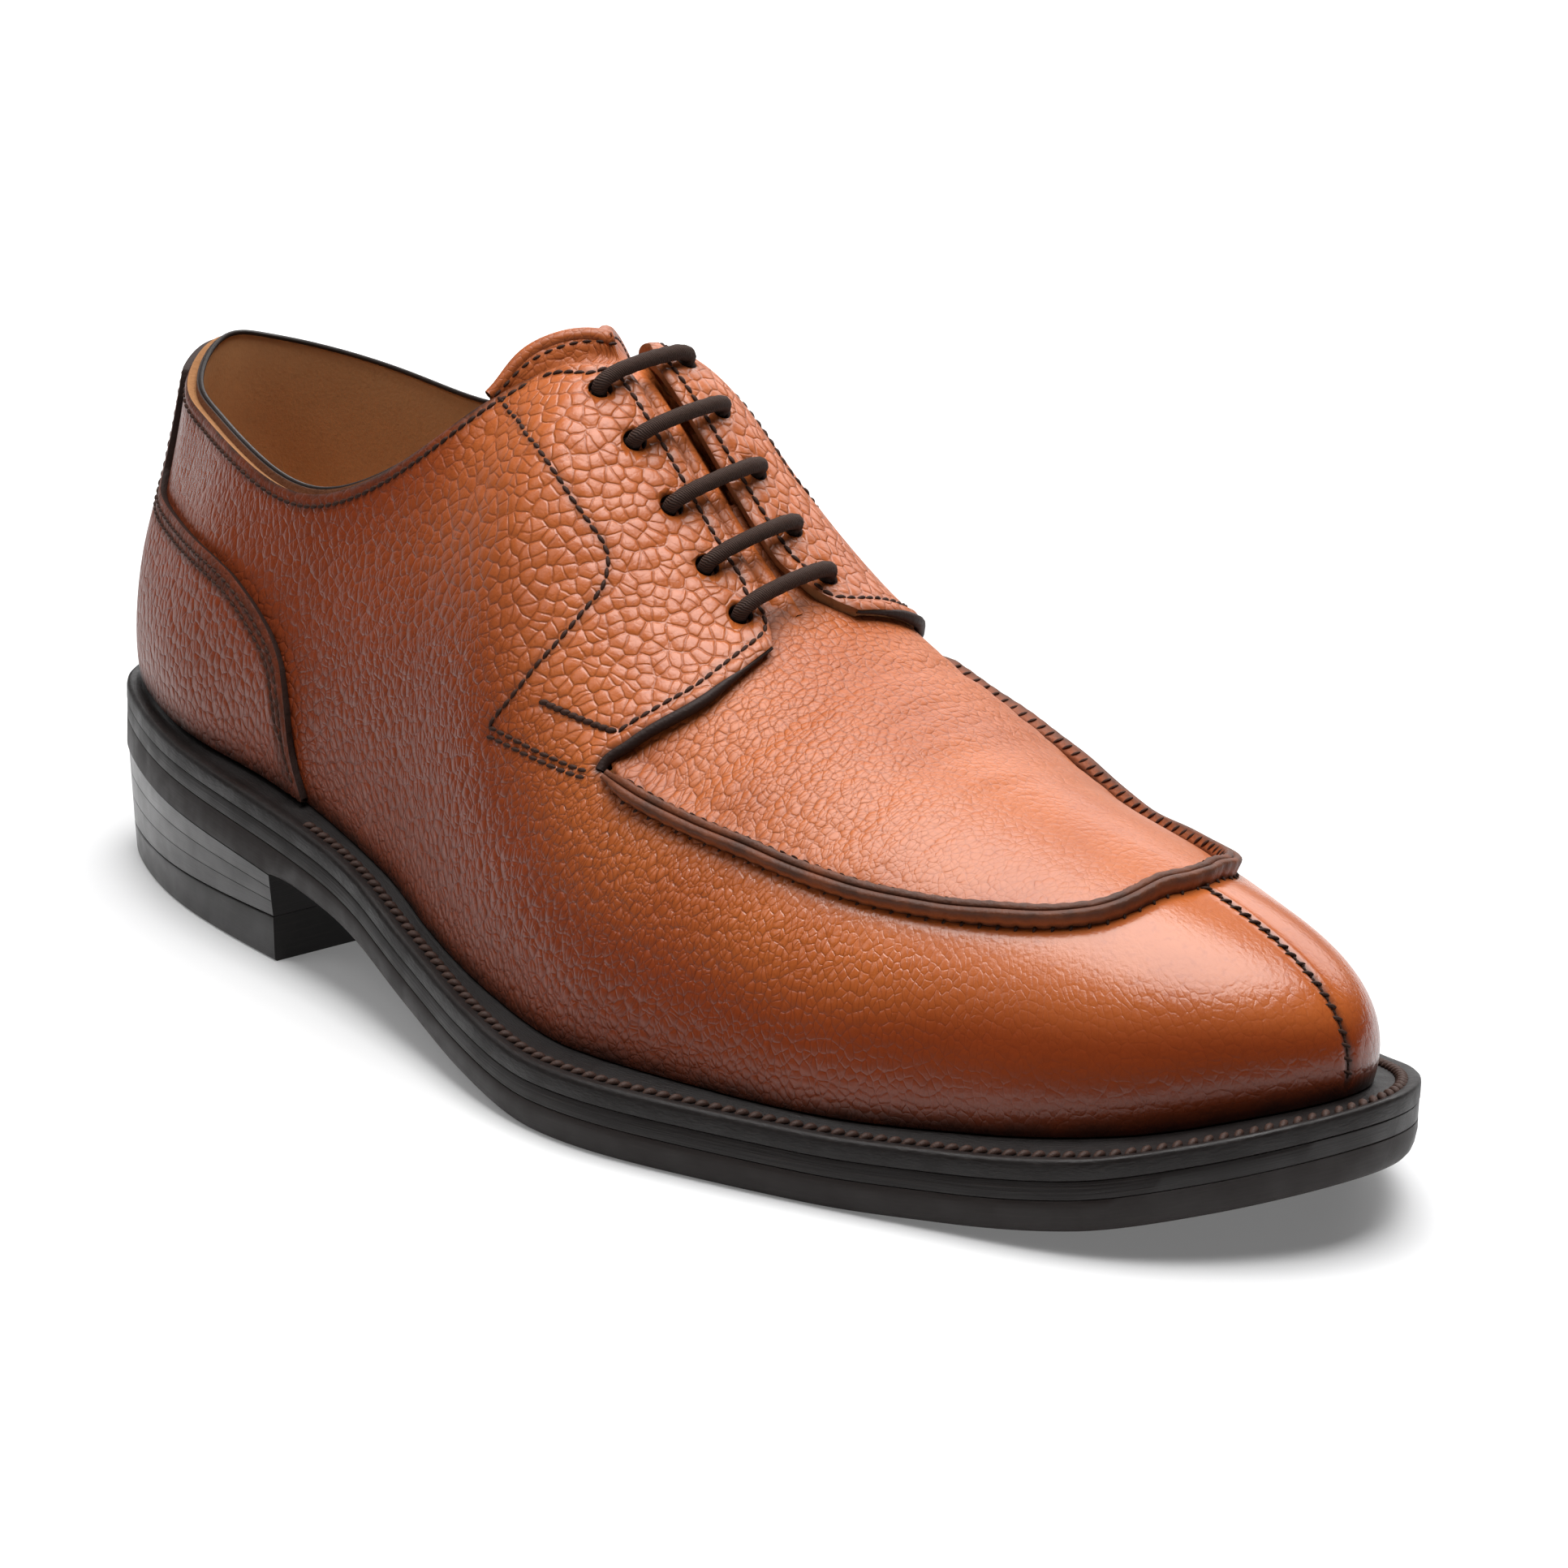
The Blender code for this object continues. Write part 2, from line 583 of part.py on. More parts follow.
def welt():
    """A strip right round the foot with a rounded lip, from the edge to under the upper."""
    under = ((-0.4, FEATHER_RISE - CLEAR), (WELT_UNDER, FEATHER_RISE - CLEAR), (WELT_UNDER, -WELT_T))
    mesh = Mesh()
    rings = []
    for u in np.arange(0, ROWS, 0.5):
        out = plan_normal("lip", u)
        points = []
        for inset, z in WELT_EDGE:
            x, y = np.array((column("lip_x", u), column("lip_y", u))) - inset * out
            points.append(np.array((x, y, lip_height(x) + z)))
        out = plan_normal("feather", u)
        for inset, z in under:
            x, y = np.array((column("feather_x", u), column("feather_y", u))) - inset * out
            points.append(np.array((x, y, lip_height(x) + z)))
        rings.append(points)
    for a, b in zip(rings, rings[1:] + rings[:1]):
        for k in range(len(a)):
            j = (k + 1) % len(a)
            mesh.face(a[k], b[k], b[j], a[j])
    return mesh.make("welt")


def insole():
    """The inner sole that closes the bottom of the upper."""
    edge = ((INSOLE_IN + 0.6, below_lip(-FEATHER_RISE)), (INSOLE_IN, below_lip(-FEATHER_RISE - INSOLE_T)))
    return plate("insole", "feather", edge, round_ends(34))


def counter():
    """Heel counter with its back strap, laid on the outside of the upper."""
    edge = np.array(COUNTER_EDGE)
    rows = np.unique(np.concatenate((edge[:, 0], (0.3, 1.6, 2.5, 3.4, 4.0))))
    us = np.concatenate((-rows[:0:-1], rows))
    outer, inner = [], []
    for u in us:
        top = float(smooth_table(COUNTER_EDGE, abs(u)))
        ts = np.linspace(0.012, max(top, 0.02), 9)
        outer.append([offset(u % ROWS, t, CLEAR + COUNTER_T) for t in ts])
        inner.append([offset(u % ROWS, t, CLEAR) for t in ts])
    mesh = Mesh()
    grid_solid(mesh, outer, inner)
    return mesh.make("heel_counter")


def seam_height(u):
    """Height on the section of the apron seam at row u."""
    table = np.array(APRON_SEAM)
    r = from_heel(u)
    side = 1 if u % ROWS <= TIP else 2
    return float(smooth_table(table[:, (0, side)], r))


def apron_seam():
    """The raised seam round the apron: a low wall that stands on the surface."""
    start = APRON_SEAM[0][0] + 0.1
    us = np.linspace(start, ROWS - start, 63)
    e = 0.02
    mesh = Mesh()
    rings = []
    for u in us:
        t = seam_height(u)
        base = offset(u, t, sunk(u, t))
        n = normal(u, t)
        along = section(u + e, seam_height(u + e)) - section(u - e, seam_height(u - e))
        along /= np.linalg.norm(along)
        side = np.cross(n, along)
        rings.append([base + a * side + h * n for a, h in SEAM_PROFILE])
    for a, b in zip(rings, rings[1:]):
        for k in range(len(a)):
            j = (k + 1) % len(a)
            mesh.face(a[k], a[j], b[j], b[k])
    mesh.face(*rings[0])
    mesh.face(*rings[-1][::-1])
    return mesh.make("apron_seam")


def tongue():
    """The tongue under the facings, from the throat to a rounded top above them."""
    ws = np.linspace(-1, 1, 13)
    outer, inner = [], []

    def add_row(row):
        outer.append([p for p, n in row])
        inner.append([p - TONGUE_T * n for p, n in row])

    for u in TONGUE_ROWS:
        row = []
        for w in ws:
            side = u if w <= 0 else ROWS - u
            t = height_at(side, max(abs(w) * TONGUE_HALF * (1 - 0.07 * (TAB - u)), 0.05))
            row.append((offset(side, t, TONGUE_DEPTH), normal(side, t)))
        add_row(row)
    for share, depth in TONGUE_LIPS:
        row = []
        for w in ws:
            u = FACING - TONGUE_WIDE * max(abs(w) - 0.16, 0.0)
            side = u if w <= 0 else ROWS - u
            t = 1.0 if w == 0 else edge_height(side)
            n = normal(side, min(t, 0.99))
            stand = share * TONGUE_TOP * (1 - 0.4 * w * w)
            row.append((section(side, t) + depth * n + stand * TONGUE_RISE, n))
        add_row(row)
    mesh = Mesh()
    grid_solid(mesh, outer, inner)
    return mesh.make("tongue")


def lace():
    """One lace: straight bars across the throat, joined under the facings."""
    def under(u):
        p, n = eyelet(u)
        return p - LACE_DEPTH * n

    def hole(u):
        p, n = eyelet(u)
        return [p + depth * n for depth in LACE_IN_HOLE]

    path = [offset(u, height_at(u, EYELET_OUT + LACE_ASIDE), -LACE_DEPTH) for u in EYELET_ROWS]
    for i, u in enumerate(reversed(EYELET_ROWS)):
        start, stop = (u, ROWS - u) if i % 2 == 0 else (ROWS - u, u)
        path += [under(start)] + hole(start)
        a, na = eyelet(start)
        b, nb = eyelet(stop)
        for w in (0.14, 0.3, 0.5, 0.7, 0.86):
            lift = LACE_LIFT + LACE_ARCH * (1 - (2 * w - 1) ** 2)
            path.append((1 - w) * a + w * b + lift * ((1 - w) * na + w * nb))
        path += hole(stop)[::-1] + [under(stop)]
    curve = bpy.data.curves.new("lace", "CURVE")
    curve.dimensions = "3D"
    curve.bevel_depth = LACE_R * MM
    curve.bevel_resolution = 2
    curve.use_fill_caps = True
    spline = curve.splines.new("POLY")
    spline.points.add(len(path) - 1)
    for point, p in zip(spline.points, path):
        point.co = (*metres(p), 1.0)
    return add_piece("lace", curve)


for old in list(bpy.data.objects):
    bpy.data.objects.remove(old)

upper()
sole()
welt()
insole()
counter()
apron_seam()
tongue()
lace()
print("pieces:", sorted(o.name for o in bpy.data.objects if not o.hide_render))
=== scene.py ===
# %% [markdown]
# # Dressing a derby shoe
# The solids of a right derby shoe are already made. This lesson loads them as a
# fixed frame and dresses them: grained leather in its real panels, cut edges, stitches, lace, welt,
# sole and heel. Each step says what the piece is on the real shoe and why it is made this way.

# %% The frame
import math

import bpy
import numpy as np
from mathutils import Matrix
from mathutils.kdtree import KDTree


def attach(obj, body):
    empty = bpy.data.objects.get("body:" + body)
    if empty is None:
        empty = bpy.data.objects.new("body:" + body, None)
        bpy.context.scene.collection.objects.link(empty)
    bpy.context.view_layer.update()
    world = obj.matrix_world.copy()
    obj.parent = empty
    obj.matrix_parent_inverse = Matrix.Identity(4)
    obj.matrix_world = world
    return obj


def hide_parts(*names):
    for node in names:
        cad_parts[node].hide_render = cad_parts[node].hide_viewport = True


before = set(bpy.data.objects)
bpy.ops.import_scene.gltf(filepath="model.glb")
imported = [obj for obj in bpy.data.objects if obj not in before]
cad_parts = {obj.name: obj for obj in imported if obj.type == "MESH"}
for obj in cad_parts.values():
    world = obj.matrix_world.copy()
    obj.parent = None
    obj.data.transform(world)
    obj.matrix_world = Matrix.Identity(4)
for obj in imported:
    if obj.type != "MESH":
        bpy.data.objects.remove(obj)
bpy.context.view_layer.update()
print("solids in the frame:", sorted(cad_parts))

# %% [markdown]
# ## The last
# A shoe is built on a last, a solid foot form. Here the last is one table: the rows go once round
# the foot, from the back of the heel along the outer side to the toe and home along the inner side.
# Each row gives the edge of the welt, the feather line where the upper meets it, and the top of a
# section, in millimetres. The same table made the solids, so every piece below lies on them.

# %% The table of sections
COLUMNS = ("lip_x", "lip_y", "feather_x", "feather_y", "top_x", "top_y", "top_z",
           "bulge", "rise", "reach", "fall", "slope")
SECTIONS = (
    ("heel_back", 0.8, 8.0, 4.3, 8.0, 10.0, 7.5, 97.6, 4.0, 0.33, 0.25, 0.33, 0.0),
    ("back_outer", 6.0, -8.5, 9.8, -6.5, 19.5, -6.3, 92.4, 4.0, 0.33, 0.25, 0.33, 0.0),
    ("quarter_outer", 20.5, -20.0, 23.5, -16.3, 31.9, -12.2, 88.8, 4.0, 0.33, 0.28, 0.33, 0.0),
    ("heel_outer", 45.0, -30.5, 46.0, -25.0, 51.6, -19.7, 85.9, 4.0, 0.33, 0.30, 0.33, 0.0),
    ("breast_outer", 75.0, -37.0, 75.0, -29.5, 76.9, -24.7, 83.5, 3.5, 0.35, 0.30, 0.33, 0.0),
    ("waist_outer", 104.0, -41.5, 103.0, -35.5, 100.3, -24.2, 92.7, 2.5, 0.40, 0.36, 0.28, -0.3),
    ("corner_outer", 122.0, -46.0, 119.5, -39.0, 117.5, -17.5, 106.8, 2.5, 0.44, 0.46, 0.18, -0.6),
    ("facing_outer", 140.0, -51.0, 135.5, -43.8, 132.0, 0.0, 116.0, 3.0, 0.50, 0.55, -0.01, -0.87),
    ("middle_outer", 163.0, -57.5, 157.0, -49.0, 154.0, 0.0, 98.4, 3.5, 0.50, 0.55, 0.04, -0.86),
    ("tab_outer", 186.0, -59.6, 179.5, -51.3, 176.0, 0.0, 79.5, 3.5, 0.53, 0.55, 0.08, -0.70),
    ("ball_outer", 208.0, -55.0, 202.0, -48.5, 197.0, 1.5, 69.4, 4.0, 0.53, 0.55, 0.04, -0.40),
    ("vamp_outer", 230.0, -48.0, 223.0, -44.0, 215.0, 3.0, 62.0, 4.5, 0.52, 0.50, 0.0, -0.32),
    ("front_outer", 252.0, -40.0, 244.0, -34.8, 229.0, 4.5, 57.6, 5.0, 0.52, 0.50, 0.0, -0.28),
    ("toe_outer", 272.0, -31.5, 263.5, -24.5, 239.0, 6.0, 55.0, 5.5, 0.55, 0.50, 0.0, -0.26),
    ("tip_outer", 289.0, -15.5, 280.0, -10.0, 246.0, 7.0, 53.3, 5.0, 0.60, 0.50, 0.0, -0.26),
    ("toe_tip", 298.5, 7.0, 290.5, 8.0, 250.0, 8.0, 52.3, 4.0, 0.60, 0.50, 0.0, -0.26),
    ("tip_inner", 292.5, 25.0, 284.5, 23.0, 246.0, 7.0, 53.3, 5.0, 0.60, 0.50, 0.0, -0.26),
    ("toe_inner", 280.0, 38.0, 272.5, 33.0, 239.0, 6.0, 55.0, 5.5, 0.55, 0.50, 0.0, -0.26),
    ("front_inner", 260.0, 49.0, 254.0, 43.0, 229.0, 4.5, 57.6, 5.0, 0.52, 0.50, 0.0, -0.28),
    ("vamp_inner", 235.0, 54.0, 230.5, 47.8, 215.0, 3.0, 62.0, 4.5, 0.52, 0.50, 0.0, -0.32),
    ("ball_inner", 210.0, 54.5, 206.5, 48.0, 197.0, 1.5, 69.4, 4.0, 0.60, 0.66, -0.045, -0.40),
    ("tab_inner", 184.0, 48.5, 181.5, 42.5, 176.0, 0.0, 79.5, 4.0, 0.66, 0.74, -0.12, -0.70),
    ("middle_inner", 159.0, 39.5, 157.0, 35.0, 154.0, 0.0, 98.4, 4.0, 0.72, 0.80, -0.09, -0.86),
    ("facing_inner", 136.0, 33.0, 134.5, 29.5, 132.0, 0.0, 116.0, 4.0, 0.74, 0.82, -0.05, -0.87),
    ("corner_inner", 119.0, 31.0, 118.0, 28.0, 117.5, 18.5, 107.5, 4.0, 0.52, 0.62, 0.12, -0.6),
    ("waist_inner", 102.0, 31.5, 101.0, 28.5, 98.0, 23.3, 98.5, 3.5, 0.40, 0.40, 0.28, -0.3),
    ("breast_inner", 75.0, 36.5, 74.0, 31.6, 75.0, 26.0, 93.2, 3.5, 0.35, 0.30, 0.33, 0.0),
    ("heel_inner", 45.0, 38.0, 45.0, 32.8, 48.2, 27.9, 94.3, 4.0, 0.33, 0.30, 0.33, 0.0),
    ("quarter_inner", 18.5, 33.0, 21.3, 29.0, 26.1, 25.2, 96.2, 4.0, 0.33, 0.28, 0.33, 0.0),
    ("back_inner", 5.0, 22.5, 8.6, 20.5, 13.1, 19.0, 97.4, 4.0, 0.33, 0.25, 0.33, 0.0),
)
ROWS, TIP, FACING, TAB = len(SECTIONS), 15.0, 7.0, 9.0
LIP_HEIGHT = ((-5.0, 34.9), (0.0, 34.6), (38.0, 32.4), (75.0, 30.0), (100.0, 27.2), (115.0, 24.4),
              (135.0, 19.0), (155.0, 14.9), (178.0, 12.2), (228.0, 12.2), (250.0, 13.4),
              (270.0, 16.0), (285.0, 20.0), (299.0, 24.6), (304.0, 26.4))
FEATHER_RISE = 0.9
print("sections:", ROWS, "from", SECTIONS[0][0], "round to", SECTIONS[-1][0])

# %% [markdown]
# ## From table to surface
# Between the rows every column is a smooth closed curve, and each section is one Bezier arc from the
# feather line to the top. All functions take whole arrays of rows `u` and heights `t`, because a
# fine sheet of leather has tens of thousands of points.


# %% Columns of the table
def smooth_table(table, x):
    """Value at x of a table of (x, value) pairs, smooth and without overshoot."""
    xs, ys = np.array(table, float)[:, :2].T
    step = np.diff(xs)
    rate = np.diff(ys) / step
    slope = np.zeros(len(xs))
    same = rate[1:] * rate[:-1] > 0
    slope[1:-1][same] = 2 * rate[1:][same] * rate[:-1][same] / (rate[1:] + rate[:-1])[same]
    slope[0], slope[-1] = rate[0], rate[-1]
    x = np.clip(np.asarray(x, float), xs[0], xs[-1])
    i = np.clip(np.searchsorted(xs, x) - 1, 0, len(step) - 1)
    h = step[i]
    w = (x - xs[i]) / h
    return (ys[i] * (1 + 2 * w) * (1 - w) ** 2 + slope[i] * h * w * (1 - w) ** 2
            + ys[i + 1] * w * w * (3 - 2 * w) + slope[i + 1] * h * w * w * (w - 1))


def loop_spline(values):
    """Second differences of a smooth closed curve through one value a row."""
    n = len(values)
    matrix = 4 * np.eye(n) + np.roll(np.eye(n), 1, 0) + np.roll(np.eye(n), -1, 0)
    return np.linalg.solve(matrix, 6 * (np.roll(values, -1) - 2 * values + np.roll(values, 1)))


ROW_VALUES = {name: np.array([row[i + 1] for row in SECTIONS]) for i, name in enumerate(COLUMNS)}
ROW_BENDS = {name: loop_spline(values) for name, values in ROW_VALUES.items()}


def column(name, u):
    """One column of the sections table at rows u, which may lie between two rows."""
    u = np.asarray(u, float) % ROWS
    i = np.floor(u).astype(int) % ROWS
    j = (i + 1) % ROWS
    w = u - np.floor(u)
    values, bends = ROW_VALUES[name], ROW_BENDS[name]
    return ((1 - w) * values[i] + w * values[j]
            + ((1 - w) ** 3 - (1 - w)) * bends[i] / 6 + (w ** 3 - w) * bends[j] / 6)


def shared(name, u):
    """A top column, made the same on both sides of the foot from the facings forwards."""
    u = np.asarray(u, float) % ROWS
    both = (column(name, u) + column(name, ROWS - u)) / 2
    return np.where((u >= FACING) & (u <= ROWS - FACING), both, column(name, u))


print("columns of the table:", ", ".join(COLUMNS))


# %% The outer surface
def lip_height(x):
    return smooth_table(LIP_HEIGHT, x)


def plan_normal(name, u):
    """Outward direction in plan of the lip or the feather line at rows u."""
    e = 0.02
    dx = column(name + "_x", u + e) - column(name + "_x", u - e)
    dy = column(name + "_y", u + e) - column(name + "_y", u - e)
    return np.stack((dy, -dx), -1) / np.hypot(dx, dy)[..., None]


def section(u, t):
    """Points of the outer surface: rows u round the foot, t from the feather line to the top."""
    u, t = np.broadcast_arrays(np.asarray(u, float), np.asarray(t, float))
    fx, fy = column("feather_x", u), column("feather_y", u)
    foot = np.stack((fx, fy, lip_height(fx) + FEATHER_RISE), -1)
    top = np.stack((shared("top_x", u), shared("top_y", u), shared("top_z", u)), -1)
    tall = top[..., 2] - foot[..., 2]
    out = plan_normal("feather", u) * column("bulge", u)[..., None]
    side = foot + np.concatenate((out, (column("rise", u) * tall)[..., None]), -1)
    over = top + column("reach", u)[..., None] * (foot - top)
    level = column("slope", u) * (over[..., 0] - top[..., 0]) - column("fall", u) * tall
    over[..., 2] = top[..., 2] + level
    t = t[..., None]
    s = 1 - t
    return s ** 3 * foot + 3 * s * s * t * side + 3 * s * t * t * over + t ** 3 * top


def unit(v):
    return v / np.maximum(np.linalg.norm(v, axis=-1), 1e-9)[..., None]


def normal(u, t):
    """Outward normals of the outer surface."""
    u, t = np.broadcast_arrays(np.asarray(u, float), np.asarray(t, float))
    e = 0.01
    along = section(u + e, t) - section(u - e, t)
    across = section(u, np.clip(t + e, 0, 0.998)) - section(u, np.clip(t - e, 0, 1))
    ridge = (u % ROWS >= TAB) & (u % ROWS <= ROWS - TAB) & (t > 0.999)
    level = np.stack((-column("slope", u), 0 * u, 1 + 0 * u), -1)
    return np.where(ridge[..., None], unit(level), unit(np.cross(along, across)))


def offset(u, t, depth):
    return section(u, t) + np.asarray(depth)[..., None] * normal(u, t)


print("toe tip at", section(TIP, 0.0).round(1), "mm, throat top at", section(FACING, 1.0).round(1), "mm")

# %% [markdown]
# ## Edges on the surface
# Collar, throat, tab and apron seam are lines on the surface. Each is given by its height on the
# section at every row, so that panels, stitches and burnish can all follow the same line.

# %% Collar, throat, tab and seam lines
HALF_GAP, TAB_ROUND = 2.8, 7.0
TAB_SLANT = ((0.0, 0.0), (0.46, -0.32), (0.53, -0.2), (0.72, 0.1), (0.88, 0.16), (0.97, 0.0), (1.0, 0.0))
SLANT_ROWS = 1.5
APRON_SEAM = ((8.65, 0.452, 0.45), (9.7, 0.474, 0.475), (10.9, 0.494, 0.512), (12.0, 0.54, 0.57),
              (13.0, 0.615, 0.68), (14.0, 0.78, 0.80), (15.0, 0.88, 0.88))
TAB_STEP, TAB_CORNER_T = 1.8, 0.46


def from_heel(u):
    u = np.asarray(u, float) % ROWS
    return np.minimum(u, ROWS - u)


def soft_step(x):
    x = np.clip(x, 0, 1)
    return x * x * (3 - 2 * x)


def throat_gap(u):
    """How far the edge of the facing stands from the middle of the throat."""
    r = from_heel(u)
    return HALF_GAP * np.clip(r - FACING + 1, 0, 1) + TAB_ROUND * np.clip((r - 8.6) / 0.4, 0, 1) ** 2


def height_at(u, out):
    """Heights on the section where it lies this far sideways from its top."""
    u, out = np.broadcast_arrays(np.asarray(u, float), np.asarray(out, float))
    low, high = np.full(u.shape, 0.3), np.ones(u.shape)
    top_y = section(u, 1.0)[..., 1]
    for _ in range(30):
        mid = (low + high) / 2
        wide = np.abs(section(u, mid)[..., 1] - top_y) > out
        low, high = np.where(wide, mid, low), np.where(wide, high, mid)
    return np.where(out <= 0, 1.0, high)


def edge_height(u):
    """Height on the section of the collar and the facing edge."""
    return height_at(u, throat_gap(u))


def seam_height(u):
    """Height on the section of the apron seam."""
    table = np.array(APRON_SEAM)
    r = from_heel(u)
    outer, inner = smooth_table(table[:, (0, 1)], r), smooth_table(table[:, (0, 2)], r)
    return np.where(np.asarray(u) % ROWS <= TIP, outer, inner)


def slanted(u, t):
    """Rows at heights t of the columns that stand at rows u, leaned with the tab's front edge."""
    near = soft_step(1 - np.abs(from_heel(u) - TAB) / SLANT_ROWS)
    lean = smooth_table(TAB_SLANT, t) * near
    return np.where(np.asarray(u) % ROWS < TIP, u + lean, u - lean)


def sunk(u, t):
    """Depth of the apron under the facing tabs, fading towards the toe."""
    ramp = np.clip((t - TAB_CORNER_T) / 0.06, 0, 1)
    return -TAB_STEP * ramp * soft_step(1 - (from_heel(u) - TAB) / 2.6)


print("tab corner at", section(8.68, seam_height(8.68)).round(1), "mm")

# %% [markdown]
# ## Laying a grid
# Each leather panel starts as Blender's own grid. Its corners are laid on the surface in one go, row
# by row, which is quicker and more exact than dragging them by hand. The grid brings a UV map along,
# and it takes point attributes that a material can read, such as how burnished each spot is.

# %% Places and selection
MM = 0.001
LOOP = np.linspace(0, ROWS, 1201)[:-1]
MID = np.array([(v.min() + v.max()) / 2 for v in (column("lip_x", LOOP), column("lip_y", LOOP))] + [0.0])


def metres(points):
    return (np.asarray(points, float) - MID) * MM


def only(piece):
    bpy.ops.object.select_all(action="DESELECT")
    piece.select_set(True)
    bpy.context.view_layer.objects.active = piece


print("middle of the outline:", MID.round(2), "mm")


# %% A sheet of leather from a grid
def flat_map(points):
    """Places of the corners on the flattened panel, in steps of 100 mm, from the lengths of its rows."""
    along = np.linalg.norm(np.diff(points, axis=1), axis=-1).mean(0)
    climb = np.linalg.norm(np.diff(points, axis=0), axis=-1)
    u = np.concatenate(([0], np.cumsum(along)))
    v = np.vstack((np.zeros(points.shape[1]), np.cumsum(climb, 0)))
    return np.stack((np.broadcast_to(u, v.shape), v), -1) * 0.01


def lay_grid(name, points, outs=None):
    """A grid whose corners are laid on points, an array (rows, columns, 3) in mm, facing along outs."""
    rows, cols = points.shape[:2]
    bpy.ops.object.select_all(action="DESELECT")
    bpy.ops.mesh.primitive_grid_add(x_subdivisions=cols - 1, y_subdivisions=rows - 1, size=1.0)
    piece = bpy.context.object
    piece.name = piece.data.name = name
    mesh = piece.data
    mesh.vertices.foreach_set("co", metres(points).ravel())
    mesh.update()
    corner = np.zeros(len(mesh.loops), int)
    mesh.loops.foreach_get("vertex_index", corner)
    mesh.uv_layers[0].data.foreach_set("uv", flat_map(points).reshape(-1, 2)[corner].ravel())
    if outs is not None:
        looks = np.zeros(len(mesh.polygons) * 3)
        mesh.polygons.foreach_get("normal", looks)
        if (looks.reshape(-1, 3) * outs.reshape(-1, 3)[corner[::4]]).sum() < 0:
            mesh.flip_normals()
    return piece


def paint(piece, **layers):
    """Keeps numbers on the points of a mesh for its material: an array, or one number for all."""
    for name, values in layers.items():
        layer = piece.data.attributes.new(name, "FLOAT", "POINT")
        numbers = np.resize(np.asarray(values, np.float32).ravel(), len(piece.data.vertices))
        layer.data.foreach_set("value", numbers)


def dress(piece, *materials):
    for material in materials:
        piece.data.materials.append(material)


# %% [markdown]
# ## Cutting, welding and flattening
# A grid is a full rectangle, while a panel has notches and closed seams. Points outside the panel are
# deleted, points that fall together are welded, and an unwrap lays the sheet flat, so that its grain
# keeps one size all over.


# %% Cutting and welding
WELD_REACH = 0.01


def drop_points(piece, mask):
    """Selects points in code and deletes them in edit mode."""
    only(piece)
    mesh = piece.data
    for part in (mesh.polygons, mesh.edges):
        part.foreach_set("select", np.zeros(len(part), bool))
    mesh.vertices.foreach_set("select", np.asarray(mask, bool).ravel())
    bpy.ops.object.mode_set(mode="EDIT")
    bpy.ops.mesh.select_mode(type="VERT")
    bpy.ops.mesh.delete(type="VERT")
    bpy.ops.object.mode_set(mode="OBJECT")


def weld(piece, close=False):
    """Merges points that fall together, and turns the faces of a closed shape outwards."""
    only(piece)
    bpy.ops.object.mode_set(mode="EDIT")
    bpy.ops.mesh.select_all(action="SELECT")
    bpy.ops.mesh.remove_doubles(threshold=WELD_REACH * MM)
    if close:
        bpy.ops.mesh.normals_make_consistent(inside=False)
    bpy.ops.object.mode_set(mode="OBJECT")


# %% Flattening a sheet
def unwrap(piece):
    """Flattens a sheet with little stretch, as a pattern cutter does, to a map of 100 mm a unit."""
    only(piece)
    bpy.ops.object.mode_set(mode="EDIT")
    bpy.ops.mesh.select_all(action="SELECT")
    bpy.ops.uv.unwrap(method="MINIMUM_STRETCH", margin=0.0)
    bpy.ops.object.mode_set(mode="OBJECT")
    mesh = piece.data
    flat, spots = np.zeros(len(mesh.loops) * 2), np.zeros(len(mesh.vertices) * 3)
    corner, first = np.zeros(len(mesh.loops), int), np.zeros(len(mesh.polygons), int)
    mesh.uv_layers[0].data.foreach_get("uv", flat)
    mesh.vertices.foreach_get("co", spots)
    mesh.loops.foreach_get("vertex_index", corner)
    mesh.polygons.foreach_get("loop_start", first)
    flat, spots = flat.reshape(-1, 2), spots.reshape(-1, 3)[corner]
    drawn = np.linalg.norm(flat[first + 1] - flat[first], axis=1).sum()
    true = np.linalg.norm(spots[first + 1] - spots[first], axis=1).sum()
    mesh.uv_layers[0].data.foreach_set("uv", (flat * 10 * true / drawn).ravel())
    print(piece.name, "flattened: 1 unit of its map is 100 mm")


# %% [markdown]
# ## Thickness and ties
# Leather has a wall, and its cut edge is slightly round: a Solidify and a Bevel modifier give both. A
# finished piece is shaded smooth and tied to the frame, and the solids it stands for are hidden. Seams
# and burnish need the distance from a line, which a k-d tree finds quickly.


# %% Wall and rounded edge
def thicken(piece, thickness, round_edge):
    """Gives a sheet its wall, inwards, with materials 1 inside and 2 on the cut edge, and rounds the cut."""
    only(piece)
    wall = piece.modifiers.new("wall", "SOLIDIFY")
    wall.thickness = thickness * MM
    wall.offset = -1
    wall.material_offset = 1
    wall.material_offset_rim = 2
    bpy.ops.object.modifier_apply(modifier=wall.name)
    edge = piece.modifiers.new("edge", "BEVEL")
    edge.limit_method = "ANGLE"
    edge.angle_limit = math.radians(55)
    edge.width = round_edge * MM
    edge.segments = 2
    bpy.ops.object.modifier_apply(modifier=edge.name)


# %% Finishing a piece
def finish_piece(piece, slot, *nodes, sharp=None):
    """Shades a piece smooth, but for edges over the angle sharp, ties it and hides the solids it stands for.
    """
    only(piece)
    if sharp is None:
        bpy.ops.object.shade_smooth()
    else:
        bpy.ops.object.shade_smooth_by_angle(angle=math.radians(sharp))
    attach(piece, "root")
    if nodes:
        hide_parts(*nodes)
    print(piece.name, "has", len(piece.data.polygons), "faces")
    return piece


